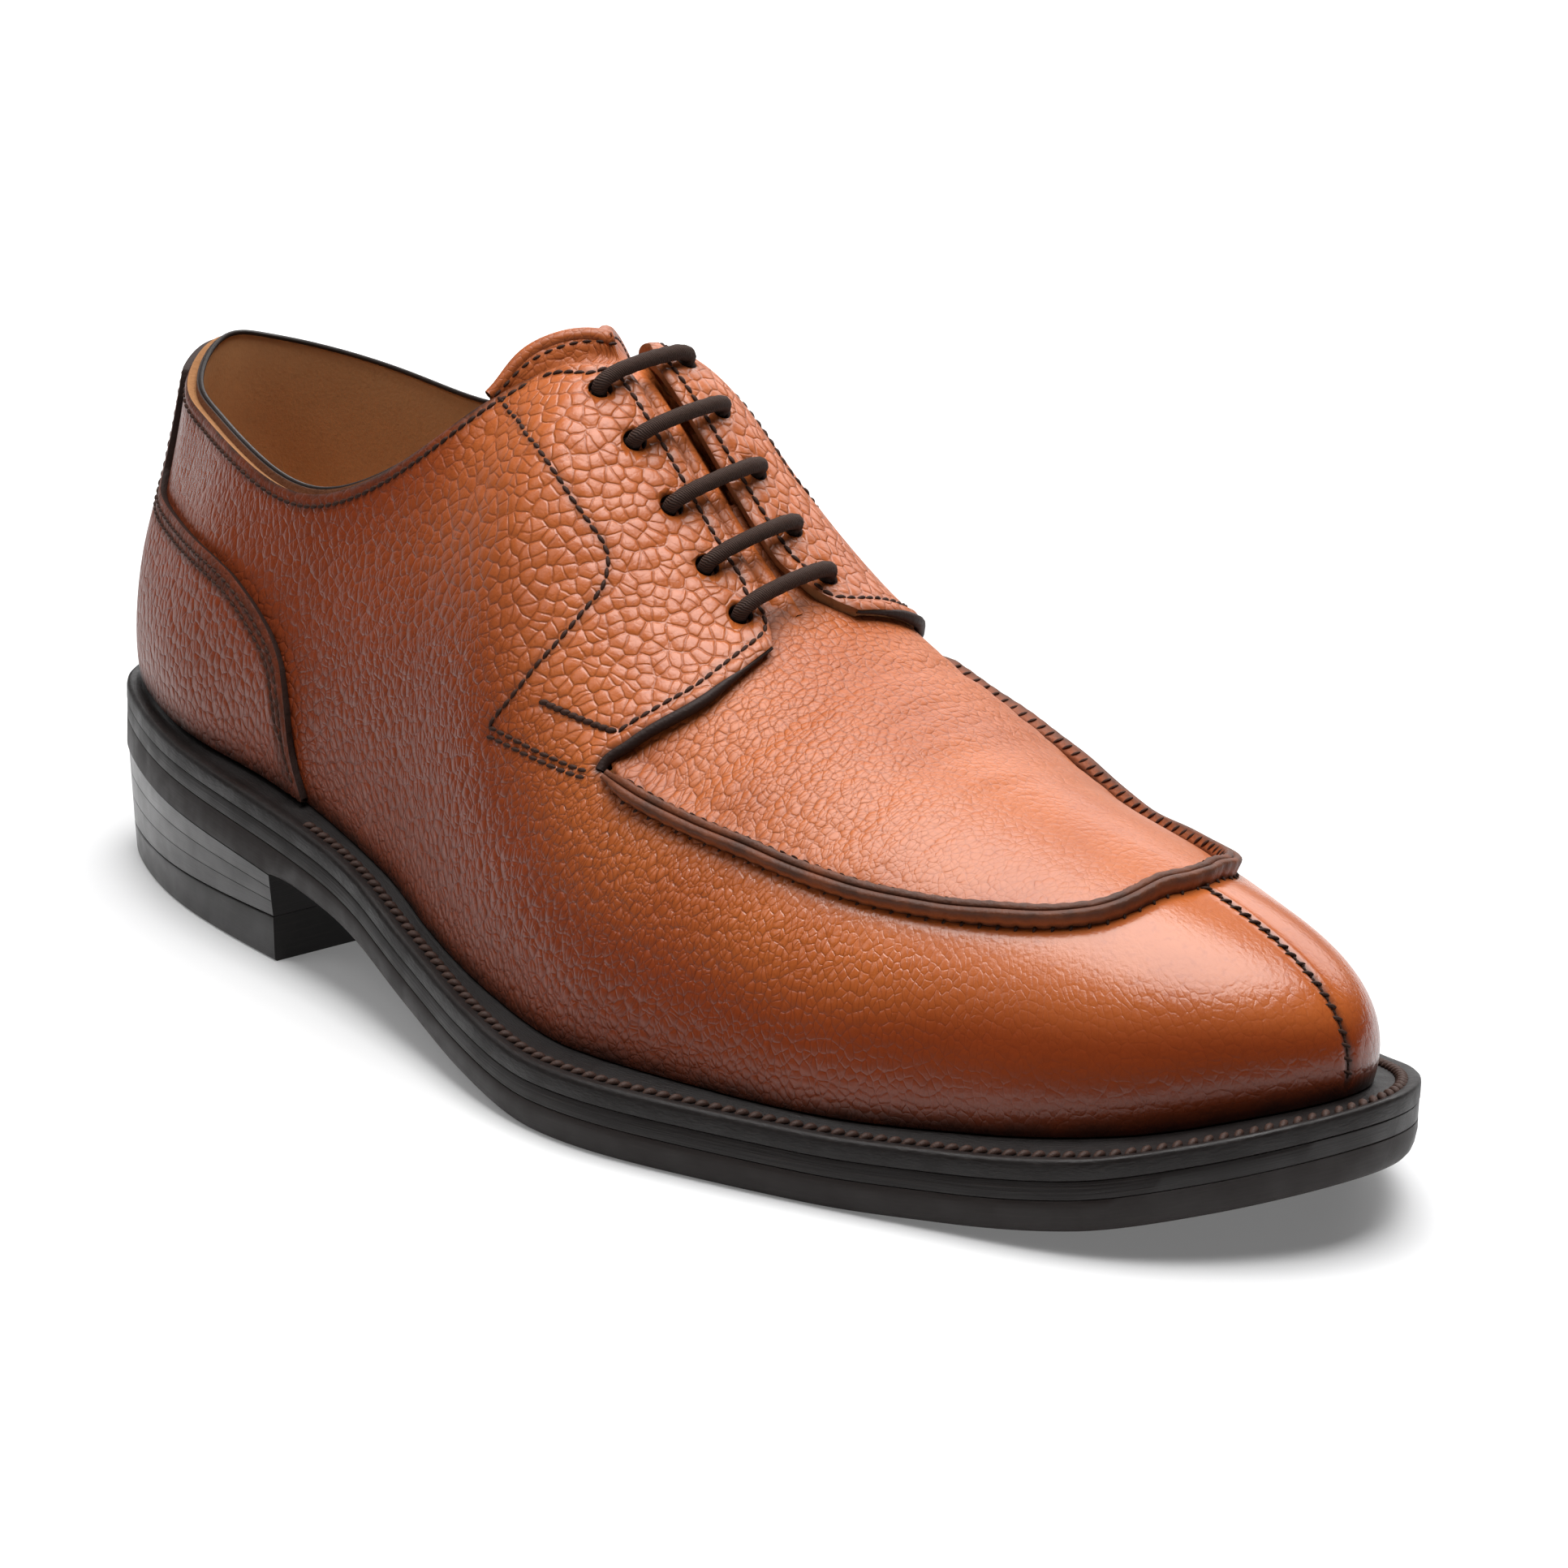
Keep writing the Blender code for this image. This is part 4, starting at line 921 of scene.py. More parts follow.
# Painted shade: the share just above the welt darkens the gap where the upper meets the welt.
burnt_and_shaded = np.maximum.reduce((near,                            # along collar, throat and tabs
                           0.7 * bell(seam_away, 1.8),      # beside the apron seam
                           0.85 * bell(foot_away, 2.6),     # just above the welt
                           bell(split_away, 0.6),           # in the split of the toe
                           0.45 * bell(facing_away, 0.7),   # under the facing's thread
                           0.45 * bell(edge_away, 0.7),     # under the edge's thread
                           0.6 * bell(eyelet_away, 2.8)))   # round the eyelets
on_facing = soft_step((levels - 0.36) / 0.12) * soft_step((from_heel(side_u) - 5.2) / 1.6)
bold = (0.7 + 0.3 * on_facing) * (1 - soft_step((sx - 180) / 60))
bold *= 0.45 + 0.55 * soft_step((sx - 0.9 * (sz - 50) - 10) / 80)
bold += 0.5 * bell(foot_away - 14, 12) * (1 - soft_step((sx - 130) / 60))
bold *= (1 - 0.6 * near) * (1 - 0.5 * bell(edge_away, 0.9))
fine = (1 - 0.8 * on_facing) * (1 - 0.7 * soft_step((sx - 215) / 45)) * (1 - 0.6 * near)
fine *= 0.45 + 0.55 * soft_step((sx + 1.2 * (50 - sz) - 40) / 70)
# Painted shade: deep darkens the sides by how steeply they stand, more of them towards the toe.
shade_from = 0.18 + 0.16 * soft_step((sx - 215) / 40)
deep = 0.9 * (1 - soft_step((side_n[..., 2] - shade_from) / 0.45))
paint(sides, burnish=burnt_and_shaded, pebble=bold, fine=fine, deep=deep)
print("mean of pebble, fine and deep:", [float(v.mean().round(2)) for v in (bold, fine, deep)])

# %% [markdown]
# ## Cutting the sides
# The corner of the grid in front of the tabs is cut away, the sheet is flattened for its grain as a
# pattern cutter would lay it, and a Solidify modifier gives it a wall. Its cut edge is dyed dark, but
# the edge in the throat stays raw like suede, so those faces get another material.

# %% Wall and cut edges of the sides
DARK_EDGE, SUEDE = 2, 3
dress(sides, side_leather, side_leather, raw_edge, suede_edge)
cut_off = np.zeros(levels.shape, bool)
cut_off[LOW:, ~rear] = True
drop_points(sides, cut_off)
weld(sides)
unwrap(sides)
thicken(sides, 2.0, 0.3)
kind, spot = np.zeros(len(sides.data.polygons), int), np.zeros(3 * len(sides.data.polygons))
sides.data.polygons.foreach_get("material_index", kind)
sides.data.polygons.foreach_get("center", spot)
spot = spot.reshape(-1, 3) / MM + MID
in_throat = (np.abs(spot[:, 1]) < 8) & (spot[:, 0] > 118) & (spot[:, 0] < 174)
kind = np.where((kind == DARK_EDGE) & in_throat, SUEDE, kind)
sides.data.polygons.foreach_set("material_index", kind)
print("side panel thickened, suede faces:", int((kind == SUEDE).sum()))

# %% [markdown]
# ## Eyelets
# The eyelets are plain punched holes. A punch is a cylinder, and a Boolean takes it away, the same way
# a hole is made at the bench. The row of punches is made once and used for the leather and the lining.


# %% Punches
def turned(z, guide):
    """A turn whose Z axis looks along z and whose X axis is square to z and the guide."""
    z = z / np.linalg.norm(z)
    x = np.cross(guide, z)
    x = x / np.linalg.norm(x)
    return Matrix((x, np.cross(z, x), z)).transposed()


def punches(radius):
    """One object with a cylinder through each eyelet."""
    made = []
    for p, n in zip(metres(eyelet_p), eyelet_n):
        bpy.ops.object.select_all(action="DESELECT")
        bpy.ops.mesh.primitive_cylinder_add(vertices=28, radius=radius * MM, depth=14 * MM)
        punch = bpy.context.object
        punch.data.transform(Matrix.Translation(p) @ turned(n, (0.0, 1.0, 0.0)).to_4x4())
        dress(punch, raw_edge)
        made.append(punch)
    for punch in made:
        punch.select_set(True)
    bpy.context.view_layer.objects.active = made[0]
    bpy.ops.object.join()
    return made[0]


def punch_holes(piece, tool):
    only(piece)
    cut = piece.modifiers.new("eyelets", "BOOLEAN")
    cut.operation = "DIFFERENCE"
    cut.solver = "EXACT"
    cut.material_mode = "TRANSFER"
    cut.object = tool
    bpy.ops.object.modifier_apply(modifier=cut.name)


tool = punches(EYELET_R)
punch_holes(sides, tool)
finish_piece(sides, "upper_leather", "upper")

# %% [markdown]
# ## Lining and collar bead
# Inside the quarters lies a thin lining. At the collar it stands a little above the leather and ends
# in a dark rolled bead, which is what the eye sees round the mouth of the shoe. In the throat it stays
# behind the edge of the facings.

# %% Lining sheet
LINING_DEPTH, LINING_T = 2.05, 0.7
lining_u, lining_n = side_u[:, rear], side_n[:, rear]
at_throat = soft_step((np.abs(around[rear]) - 6.3) / 0.3)
lining_t = levels[:, rear] * (1 - 0.05 * at_throat * np.linspace(0, 1, len(levels))[:, None])
lining_p = section(lining_u, lining_t) - LINING_DEPTH * lining_n
climb = unit(section(lining_u[-1], lining_t[-1]) - section(lining_u[-1], lining_t[-1] - 0.02))
stand = soft_step((6.5 - np.abs(around[rear])) / 0.7)
above_edge = np.array([lining_p[-1] + (h * stand)[:, None] * climb for h in (0.3, 0.6, 0.85)])
lining_p = np.concatenate((lining_p, above_edge))
lining_n = np.concatenate((lining_n, np.repeat(lining_n[-1:], 3, 0)))
lining_sheet = lay_grid("lining", lining_p, lining_n)
dress(lining_sheet, pale_edge, lining, pale_edge)
thicken(lining_sheet, LINING_T, 0.12)
punch_holes(lining_sheet, tool)
finish_piece(lining_sheet, "lining_leather")
bpy.data.objects.remove(tool)


# %% A tube along a line
def tube(name, line, radius, count=10, wave=None):
    """A tube round a line of points in mm, with an optional change of radius, as a grid."""
    along = unit(np.gradient(line, axis=0))
    side = np.zeros_like(line)
    guide = np.array((0.0, 0.0, 1.0)) if abs(along[0, 2]) < 0.9 else np.array((0.0, 1.0, 0.0))
    for i, d in enumerate(along):
        guide = guide - d * (guide @ d)
        guide = guide / np.linalg.norm(guide)
        side[i] = guide
    over = np.cross(along, side)
    turn = np.linspace(0, 2 * np.pi, count + 1)
    ring = np.cos(turn)[:, None, None] * side + np.sin(turn)[:, None, None] * over
    size = np.broadcast_to(radius, (len(turn), len(line)))
    if wave is not None:
        size = size * wave(turn[:, None], np.arange(len(line))[None])
    piece = lay_grid(name, line + size[..., None] * ring, ring)
    weld(piece)
    return piece


BEAD_R = 0.5
use = stand > 0.02
collar_top = (above_edge[-1] - 0.8 * lining_n[-1])[use]
bead = tube("collar_bead", collar_top, BEAD_R * np.maximum(stand[use], 0.25))
dress(bead, bead_leather)
finish_piece(bead, "lining_leather")

# %% [markdown]
# ## Apron
# The apron is the top panel of the vamp. It dips under the facing tabs, so it lies a little deeper
# there, and it creases where the foot bends. Two main creases and six finer ones are given as
# soft troughs, each with a low ridge beside it: place along the shoe, depth, width and bow, in mm.

# %% Shape of the apron
CREASES = ((193.0, 0.42, 2.4, 0.0035), (214.0, 0.34, 3.0, 0.0025), (189.0, 0.16, 0.9, 0.004),
           (198.5, 0.20, 1.1, 0.003), (203.0, 0.16, 1.2, 0.0032), (208.0, 0.14, 1.0, 0.003),
           (219.5, 0.15, 1.2, 0.002), (225.0, 0.10, 1.4, 0.002))
TOE_LEVEL = unit(np.array((0.26, 0.0, 1.0)))
apron_u = np.linspace(8.2, ROWS - 8.2, 260)
tucked = 0.09 * soft_step((8.9 - from_heel(apron_u)) / 0.5)
apron_low = seam_height(np.clip(apron_u, 8.65, ROWS - 8.65)) + tucked
apron_t = apron_low + (1 - apron_low) * np.linspace(0, 1, 34)[:, None]
apron_uu = np.broadcast_to(apron_u, apron_t.shape)
apron_p = section(apron_uu, apron_t)
ridge_end = np.linalg.norm(apron_p - section(TIP, 1.0), axis=-1)
level_share = (1 - soft_step((ridge_end - 3) / 4))[..., None]
apron_n = unit(normal(apron_uu, apron_t) * (1 - level_share) + level_share * TOE_LEVEL)
print("apron grid:", apron_t.shape)

# %% Creases and edges of the apron
tab_at = TAB + smooth_table(TAB_SLANT, apron_t)
covered = soft_step((tab_at - 0.02 - from_heel(apron_uu)) / 0.12)
x, y = apron_p[..., 0], apron_p[..., 1]
fold = np.zeros(x.shape)
for at, low, wide, bow in CREASES:
    line = at - bow * (y - 2) ** 2 + 0.9 * np.sin(0.19 * y + at)
    fold += trough(x - line, low, wide) + 0.5 * low * bell(x - line - 2.1 * wide, 1.3 * wide)
inner_seam = away(apron_p, seam_line)
depth = sunk(apron_uu, apron_t) - 0.9 * covered
depth = depth + fold * soft_step(inner_seam / 8) + trough(inner_seam, 0.3, 1.6)
dark_edge = 0.7 * bell(inner_seam, 2.0)
# Painted shade: the apron is darker under the facing tabs and just in front of their edges.
painted_shade_by_tab = 0.5 * soft_step((tab_at + 0.1 - from_heel(apron_uu)) / 0.16)
print("creases from", fold.min().round(2), "to", fold.max().round(2), "mm")


# %% The apron itself
def both_faces(values):
    """Values of the underside from the ridge down, then of the top from the edge up."""
    return np.concatenate((values[::-1], values))


APRON_T = 1.0
under = apron_p + (depth - APRON_T)[..., None] * apron_n
shell = np.concatenate((under[::-1], apron_p + depth[..., None] * apron_n))
apron = lay_grid("apron", shell, np.concatenate((-apron_n[::-1], apron_n)))
corner = np.zeros(len(apron.data.loops), int)
apron.data.loops.foreach_get("vertex_index", corner)
plan = both_faces(np.stack((x, 1.12 * y), -1)).reshape(-1, 2) * 0.01
apron.data.uv_layers[0].data.foreach_set("uv", plan[corner].ravel())
paint(apron, burnish=both_faces(np.maximum(dark_edge, painted_shade_by_tab)),
      pebble=both_faces(0.95 - 0.75 * soft_step((x - 190) / 50)),
      fine=both_faces(0.8 - 0.4 * soft_step((x - 210) / 35)))
dress(apron, apron_leather)
weld(apron)
finish_piece(apron, "upper_leather")

# %% [markdown]
# ## Apron seam
# Where apron and sides meet, their edges are turned up and sewn face to face, which leaves a low wall
# round the toe: two skins with a fine groove between them, dark on top and puckered by the thread. It
# is one profile swept along the seam. Across the tip the path is bridged straight, because the two
# halves of the seam meet there in a small notch.

# %% Path of the standing seam
SKIN = ((-1.65, -0.3), (-1.52, 0.8), (-1.46, 2.0), (-1.3, 2.5), (-0.9, 2.62), (-0.3, 2.58), (-0.08, 2.3),
        (0.0, 1.9), (0.08, 2.2), (0.3, 2.44), (0.9, 2.48), (1.3, 2.36), (1.46, 1.9), (1.52, 0.8),
        (1.65, -0.3))
lip_u = np.linspace(SEAM_START, ROWS - SEAM_START, 420)
lip_t = seam_height(lip_u)
lip_n = normal(lip_u, lip_t)
lip_p = section(lip_u, lip_t) + sunk(lip_u, lip_t)[:, None] * lip_n
at_tip = np.abs(lip_u - TIP) < 0.45
for k in range(3):
    lip_p[at_tip, k] = np.interp(lip_u[at_tip], lip_u[~at_tip], lip_p[~at_tip, k])
lip_side = np.cross(lip_n, unit(np.gradient(lip_p, axis=0)))
for _ in range(12):
    lip_side[1:-1] = unit(lip_side[:-2] + 2 * lip_side[1:-1] + lip_side[2:])
run = run_of(lip_p)
print("standing seam is", run[-1].round(), "mm long")

# %% Standing seam
pucker = 0.09 * np.cos(2 * np.pi * run / 2.9)
uneven = 0.05 * np.sin(run / 3.7) + 0.05 * np.sin(run / 2.3 + 1.0) + 0.08 * np.sin(run / 9.1)
ends = soft_step(np.minimum(run, run[-1] - run) / 5)
rows = []
for a, h in SKIN:
    lean = (a + (pucker * np.sign(a) if abs(a) > 1 else 0)) * (0.6 + 0.4 * ends) + 0.5 * uneven
    high = h * (0.45 + 0.55 * ends) + (uneven if h > 1 else 0)
    rows.append(lip_p + lean[:, None] * lip_side + high[:, None] * lip_n)
lip_grid = np.array(rows + rows[:1])
seam = lay_grid("standing_seam", lip_grid, lip_grid - (lip_p + 1.3 * lip_n))
skin_h = np.array([h for a, h in SKIN + SKIN[:1]])
rubbed = np.maximum(0.8 * soft_step((skin_h - 1.2) / 1.0), 0.9 * soft_step((0.9 - skin_h) / 0.8))
paint(seam, burnish=np.repeat(rubbed[:, None], len(lip_u), 1))
dress(seam, lip_leather)
weld(seam)
finish_piece(seam, "edge_leather", "apron_seam")

# %% [markdown]
# ## Tab edges
# The front edge of each facing tab is thick, folded and dressed black. A tube along the edge of the
# sheet gives it that round black rim, which thins out towards the throat.

# %% Rims of the tabs
for label in ("outer", "inner"):
    line = through(tab_lines[label], 3)
    line = pick(line, even(line, 0.5))
    share = np.linspace(0, 1, len(line))
    outs = side_n[LOW - 1:, tab_columns[label]]
    outs = pick(outs, share * (len(outs) - 1))
    tab_rim = tube(label + "_tab_rim", line - 0.35 * outs, 1.05 - 0.75 * soft_step((share - 0.5) / 0.5), 12)
    dress(tab_rim, raw_edge)
    finish_piece(tab_rim, "edge_leather")

# %% [markdown]
# ## Heel counter
# The counter is a second leather laid over the back of the quarters, with a narrow strap up to the
# collar. Its edge is cut, slightly raised and double stitched, and the leather is darkest there.

# %% Counter
COUNTER_EDGE = ((0.0, 0.985), (0.62, 0.985), (0.82, 0.80), (1.0, 0.69), (1.3, 0.648), (2.0, 0.645),
                (3.0, 0.648), (3.3, 0.64), (3.6, 0.60), (3.9, 0.52), (4.1, 0.42), (4.22, 0.29),
                (4.32, 0.12), (4.42, 0.02))
CLEAR, COUNTER_T, COUNTER_ROWS = 0.3, 1.4, (1.9, 3.6)
span = np.unique(np.concatenate((np.linspace(0, 4.42, 90), np.linspace(0.58, 1.1, 26),
                                 np.linspace(3.9, 4.42, 36))))
counter_u = np.concatenate((-span[:0:-1], span))
counter_top = np.maximum(smooth_table(COUNTER_EDGE, np.abs(counter_u)), 0.02)
counter_t = 0.012 + (counter_top - 0.012) * np.linspace(0, 1, 44)[:, None]
counter_uu = np.broadcast_to(counter_u % ROWS, counter_t.shape)
counter_n = normal(counter_uu, counter_t)
counter_p = section(counter_uu, counter_t)
brink_away = away(counter_p, through(counter_p[-1], 4))
low_away = np.linalg.norm(counter_p - counter_p[:1], axis=-1)
lift_counter = (CLEAR + COUNTER_T + trough(brink_away - COUNTER_ROWS[0], 0.28, 0.55)
                + trough(brink_away - COUNTER_ROWS[1], 0.24, 0.55) + trough(brink_away, 0.35, 0.8)
                + 0.10 * np.sin(counter_p @ np.array((0.17, 0.08, 0.21))))
counter = lay_grid("counter", counter_p + lift_counter[..., None] * counter_n, counter_n)
# Painted shade: the counter is darker just above the welt, and deep gives all of it the darker colour of the
# steep sides, partly its own darker tone.
paint(counter, burnish=np.maximum(0.62 * soft_step((5.6 - brink_away) / 2.2), 0.85 * bell(low_away, 2.6)),
      pebble=1.1 - 0.8 * bell(brink_away, 2.5), fine=0.5 - 0.2 * bell(brink_away, 2.5), deep=0.9)
dress(counter, counter_leather, raw_edge, raw_edge)
thicken(counter, 1.35, 0.25)
finish_piece(counter, "upper_leather", "heel_counter")

# %% [markdown]
# ## Tongue
# The tongue lies under the facings and ends above them in a rolled edge. Its lower rows follow the
# upper's surface, sunk deep enough to leave room for the lace, with a raised middle in the throat. The
# last rows stand up behind the facings. They are smoothed across the middle, so the roll turns gently.

# %% Rows of the tongue
TONGUE_HALF, TONGUE_DEPTH, TONGUE_T = 21.0, -6.7, 2.4
RISE = np.array((-0.8, 0.0, 0.6))
across = np.linspace(-1, 1, 61)
wide = np.abs(across)


def on_side(u):
    """Rows of the outer side for the left half of the tongue, of the inner side for the right half."""
    return np.where(across <= 0, u, ROWS - u)


rows = []
for u in (9.05, 8.65, 8.25, 7.85, 7.45):
    t = height_at(on_side(u), np.maximum(wide * TONGUE_HALF * (1 - 0.07 * (TAB - u)), 0.05))
    rows.append(offset(on_side(u), t, TONGUE_DEPTH + 2.2 * bell(wide, 0.3) + 3.0 * bell(wide, 0.17)))
UNDER_ROWS = len(rows)
top_u = 7.0 - 0.98 * np.maximum(wide - 0.1, 0) / 0.9
low_u = top_u + 0.2 * (1 - soft_step(wide / 0.35))
low_t = 1 - (1.05 - smooth_table(FACING_TOP, np.minimum(low_u, 7.0))) * soft_step(wide / 0.35)
rows.append(offset(on_side(low_u), low_t, -4.0 + 1.6 * bell(wide, 0.15)))
out = normal(on_side(top_u), np.full(len(across), 0.99))
stands = (3.2 + 1.2 * soft_step(wide / 0.5)) * (1 - soft_step((wide - 0.66) / 0.36)) + 0.2
for share, low in ((0.0, -2.4), (0.55, -1.3), (1.0, -0.8)):
    rows.append(section(on_side(top_u), np.ones(len(across))) + low * out + (share * stands)[:, None] * RISE)
knots = np.array(rows)
for _ in range(14):
    free = knots[UNDER_ROWS:]
    free[:, 1:-1] = (free[:, :-2] + 2 * free[:, 1:-1] + free[:, 2:]) / 4
print("tongue rows:", len(knots), "top at", knots[-1, :, 2].max().round(1), "mm")

# %% Tongue sheet and roll
tongue_p = through(knots.reshape(len(knots), -1), 8).reshape(-1, len(across), 3)
tongue_n = unit(np.cross(np.gradient(tongue_p, axis=1), np.gradient(tongue_p, axis=0)))
tongue_n *= np.sign(tongue_n[..., 2:].mean())
tongue = lay_grid("tongue_sheet", tongue_p, tongue_n)
tip_away = np.linalg.norm(tongue_p - tongue_p[-1:], axis=-1)
paint(tongue, burnish=0.4 * bell(tip_away, 1.0), pebble=0.6, fine=0.5)
dress(tongue, tongue_leather, tongue_leather, raw_edge)
thicken(tongue, TONGUE_T - 0.2, 0.5)
finish_piece(tongue, "upper_leather", "tongue")
roll = tube("tongue_roll", tongue_p[-1] - 1.0 * tongue_n[-1], 1.45 * (1 - 0.4 * wide ** 6), 12)
dress(roll, tongue_leather)
paint(roll, burnish=0.25, pebble=0.0, fine=0.6)
finish_piece(roll, "upper_leather")

# %% [markdown]
# ## Lace
# One round lace runs in straight bars. It comes up through an eyelet, lies in a low arch over the
# throat, goes down on the other side and climbs to the next pair under the facing. Its hidden ends
# stop inside at the top eyelets. It is one tube along that path, with a faint twist in its radius.

# %% Lace path
LACE_R, LACE_DEPTH, LACE_ASIDE, LACE_LIFT, LACE_ARCH = 1.38, 4.9, 5.0, 1.9, 1.5
EYELET_STOPS = (-LACE_DEPTH, -3.2, 0.8)


def eyelet(u):
    t = height_at(u, EYELET_OUT)
    return section(u, t), normal(u, t)


def twist(q, i):
    return 1 + 0.035 * np.cos(6 * q) * np.cos(1.4 * i)


rows_u = np.array(EYELET_ROWS)
path = list(offset(rows_u, height_at(rows_u, EYELET_OUT + LACE_ASIDE), np.full(len(rows_u), -LACE_DEPTH)))
for i, u in enumerate(reversed(EYELET_ROWS)):
    begin, end = (u, ROWS - u) if i % 2 == 0 else (ROWS - u, u)
    (a, na), (b, nb) = eyelet(begin), eyelet(end)
    path += [a + h * na for h in EYELET_STOPS]
    for w in (0.14, 0.3, 0.5, 0.7, 0.86):
        lift = LACE_LIFT + LACE_ARCH * (1 - (2 * w - 1) ** 2)
        path.append((1 - w) * a + w * b + lift * ((1 - w) * na + w * nb))
    path += [b + h * nb for h in reversed(EYELET_STOPS)]
lace_line = through(path, 14)
lace = tube("lace_cord", pick(lace_line, even(lace_line, 0.6)), LACE_R, 12, twist)
dress(lace, lace_cotton)
finish_piece(lace, "lace_cotton", "lace")

# %% [markdown]
# ## Welt
# The welt is the strip sewn round the upper; its top shows as a ledge with a row of stitches. It is
# one closed profile swept round the lip: rounded edge, a shallow stitch channel and a foot that goes
# under the upper. Each pair is an inset and a height over the lip, in mm.

# %% Welt strip
WELT_T, WELT_UNDER = 3.4, 7.0
BY_LIP = ((0.5, -WELT_T - 0.1), (0.12, -WELT_T - 0.05), (0.0, -WELT_T + 0.2), (0.0, -1.0), (0.12, -0.45),
          (0.45, -0.1), (0.9, 0.0), (2.0, -0.05), (2.6, -0.3), (3.4, -0.35), (4.0, -0.2))
BY_FOOT = ((-0.6, 0.35), (-0.3, 0.55), (0.6, 0.6), (WELT_UNDER, 0.6), (WELT_UNDER, -WELT_T), (2.0, -WELT_T))
loop = np.append(np.linspace(0, ROWS, 521)[:-1], 0.0)


def ledge(line, inset, z):
    """Points round the foot at an inset from the lip or the feather line, and a height over the lip."""
    out = plan_normal(line, loop)
    x = column(line + "_x", loop) - inset * out[:, 0]
    y = column(line + "_y", loop) - inset * out[:, 1]
    return np.stack((x, y, lip_height(x) + z), -1)


welt_wide = np.hypot(*(column("lip_" + axis, loop) - column("feather_" + axis, loop) for axis in "xy"))
rows = [ledge("lip", np.minimum(inset, 0.72 * welt_wide), z) for inset, z in BY_LIP]
rows += [ledge("feather", inset, z) for inset, z in BY_FOOT]
welt = lay_grid("welt_strip", np.array(rows + rows[:1]))
weld(welt, close=True)
dress(welt, welt_leather)
finish_piece(welt, "welt_leather", "welt")

# %% [markdown]
# ## Sole and heel
# Midsole, outsole, heel lifts, top piece and insole are plates with a dressed edge. Each is one grid
# wrapped round: its columns are cuts across the shoe from back to front, its rows run once round the
# cut. The levels of an edge are insets and heights, from the underside to the top.


# %% Plates
def outline(line, inset, stations, stop=None):
    """Both sides of the lip or feather line at the same stations along the shoe."""
    us = np.linspace(0, ROWS, 1201)
    edge = np.stack((column(line + "_x", us), column(line + "_y", us)), -1) - inset * plan_normal(line, us)
    back = int(np.argmin(np.where((us < 3) | (us > 27), edge[:, 0], 1e9)))
    edge = np.roll(edge[:-1], -(back % 1200), axis=0)
    front = int(np.argmax(edge[:, 0]))
    outer, inner = edge[:front + 1], np.vstack((edge[front:], edge[:1]))[::-1]
    x0, x1 = edge[0, 0], edge[front, 0] if stop is None else stop
    xs = x0 + (x1 - x0) * stations
    return (xs, np.interp(xs, np.maximum.accumulate(outer[:, 0]), outer[:, 1]),
            np.interp(xs, np.maximum.accumulate(inner[:, 0]), inner[:, 1]))


def plate(name, line, levels, material, slot, node, stop=None):
    """A closed plate: levels are (inset, function of x giving z); it ends square at stop, if given."""
    stations = (1 - np.cos(np.linspace(0, np.pi, 150))) / 2
    if stop is not None:
        stations = 1 - np.cos(np.linspace(0, np.pi / 2, 70))
    walls = []
    for inset, height in levels:
        xs, ya, yb = outline(line, inset, stations, stop)
        walls.append((xs, ya, yb, height(xs)))

    def row(wall, w):
        xs, ya, yb, z = wall
        return np.stack((xs, ya + (yb - ya) * w, z), -1)

    within = np.linspace(0, 1, 12)[1:-1]
    rows = [row(wall, 0) for wall in walls] + [row(walls[-1], w) for w in within]
    rows += [row(wall, 1) for wall in walls[::-1]] + [row(walls[0], w) for w in within[::-1]]
    points = np.array(rows + rows[:1])
    if stop is not None:
        flat = points[:, -1].copy()
        flat[:, 1] = points[:, -1, 1].mean()
        points = np.concatenate((points, flat[:, None]), 1)
    piece = lay_grid(name, points)
    weld(piece, close=True)
    dress(piece, material)
    return finish_piece(piece, slot, node, sharp=35)


# %% Midsole, outsole and insole
SOLE_DEPTH = 12.15


def below(depth):
    return lambda x: lip_height(x) - depth


def rounded(depth):
    """A level of the rounded lower edge, which turns square over the heel."""
    return lambda x: lip_height(x) - depth - (SOLE_DEPTH - depth) * soft_step((94 - x) / 10)


midsole_levels = ((0.5, below(6.62)), (0.16, below(6.6)), (0.08, below(6.5)), (0.08, below(3.7)),
                  (0.16, below(3.56)), (0.5, below(3.52)))
outsole_levels = ((2.2, below(12.2)), (1.3, rounded(12.0)), (0.7, rounded(11.4)), (0.3, rounded(10.4)),
                  (0.0, rounded(8.4)), (0.05, below(6.85)), (0.15, below(6.7)), (0.5, below(6.66)))
insole_levels = ((3.7, below(-0.9)), (3.2, below(-1.4)), (3.0, below(-2.6)), (3.4, below(-3.1)))
plate("midsole_plate", "lip", midsole_levels, midsole_edge, "heel_leather", "midsole")
plate("outsole_plate", "lip", outsole_levels, rubber, "sole_rubber", "outsole")
plate("insole_board", "feather", insole_levels, insole_leather, "lining_leather", "insole")

# %% [markdown]
# ## Heel
# The heel is a stack of leather lifts on a rubber top piece. The joints between the lifts are fine
# grooves, so the stack is one plate whose edge steps in and out again at two heights. It ends square
# at the breast, under the waist of the shoe.

# %% Heel lifts and top piece
BREAST = 84.0


def joint(rise):
    """The joint between the heel stack and its top piece."""
    return lambda x: 5.2 + 3.2 * x / BREAST + rise


def flat_at(z):
    return lambda x: 0 * x + z


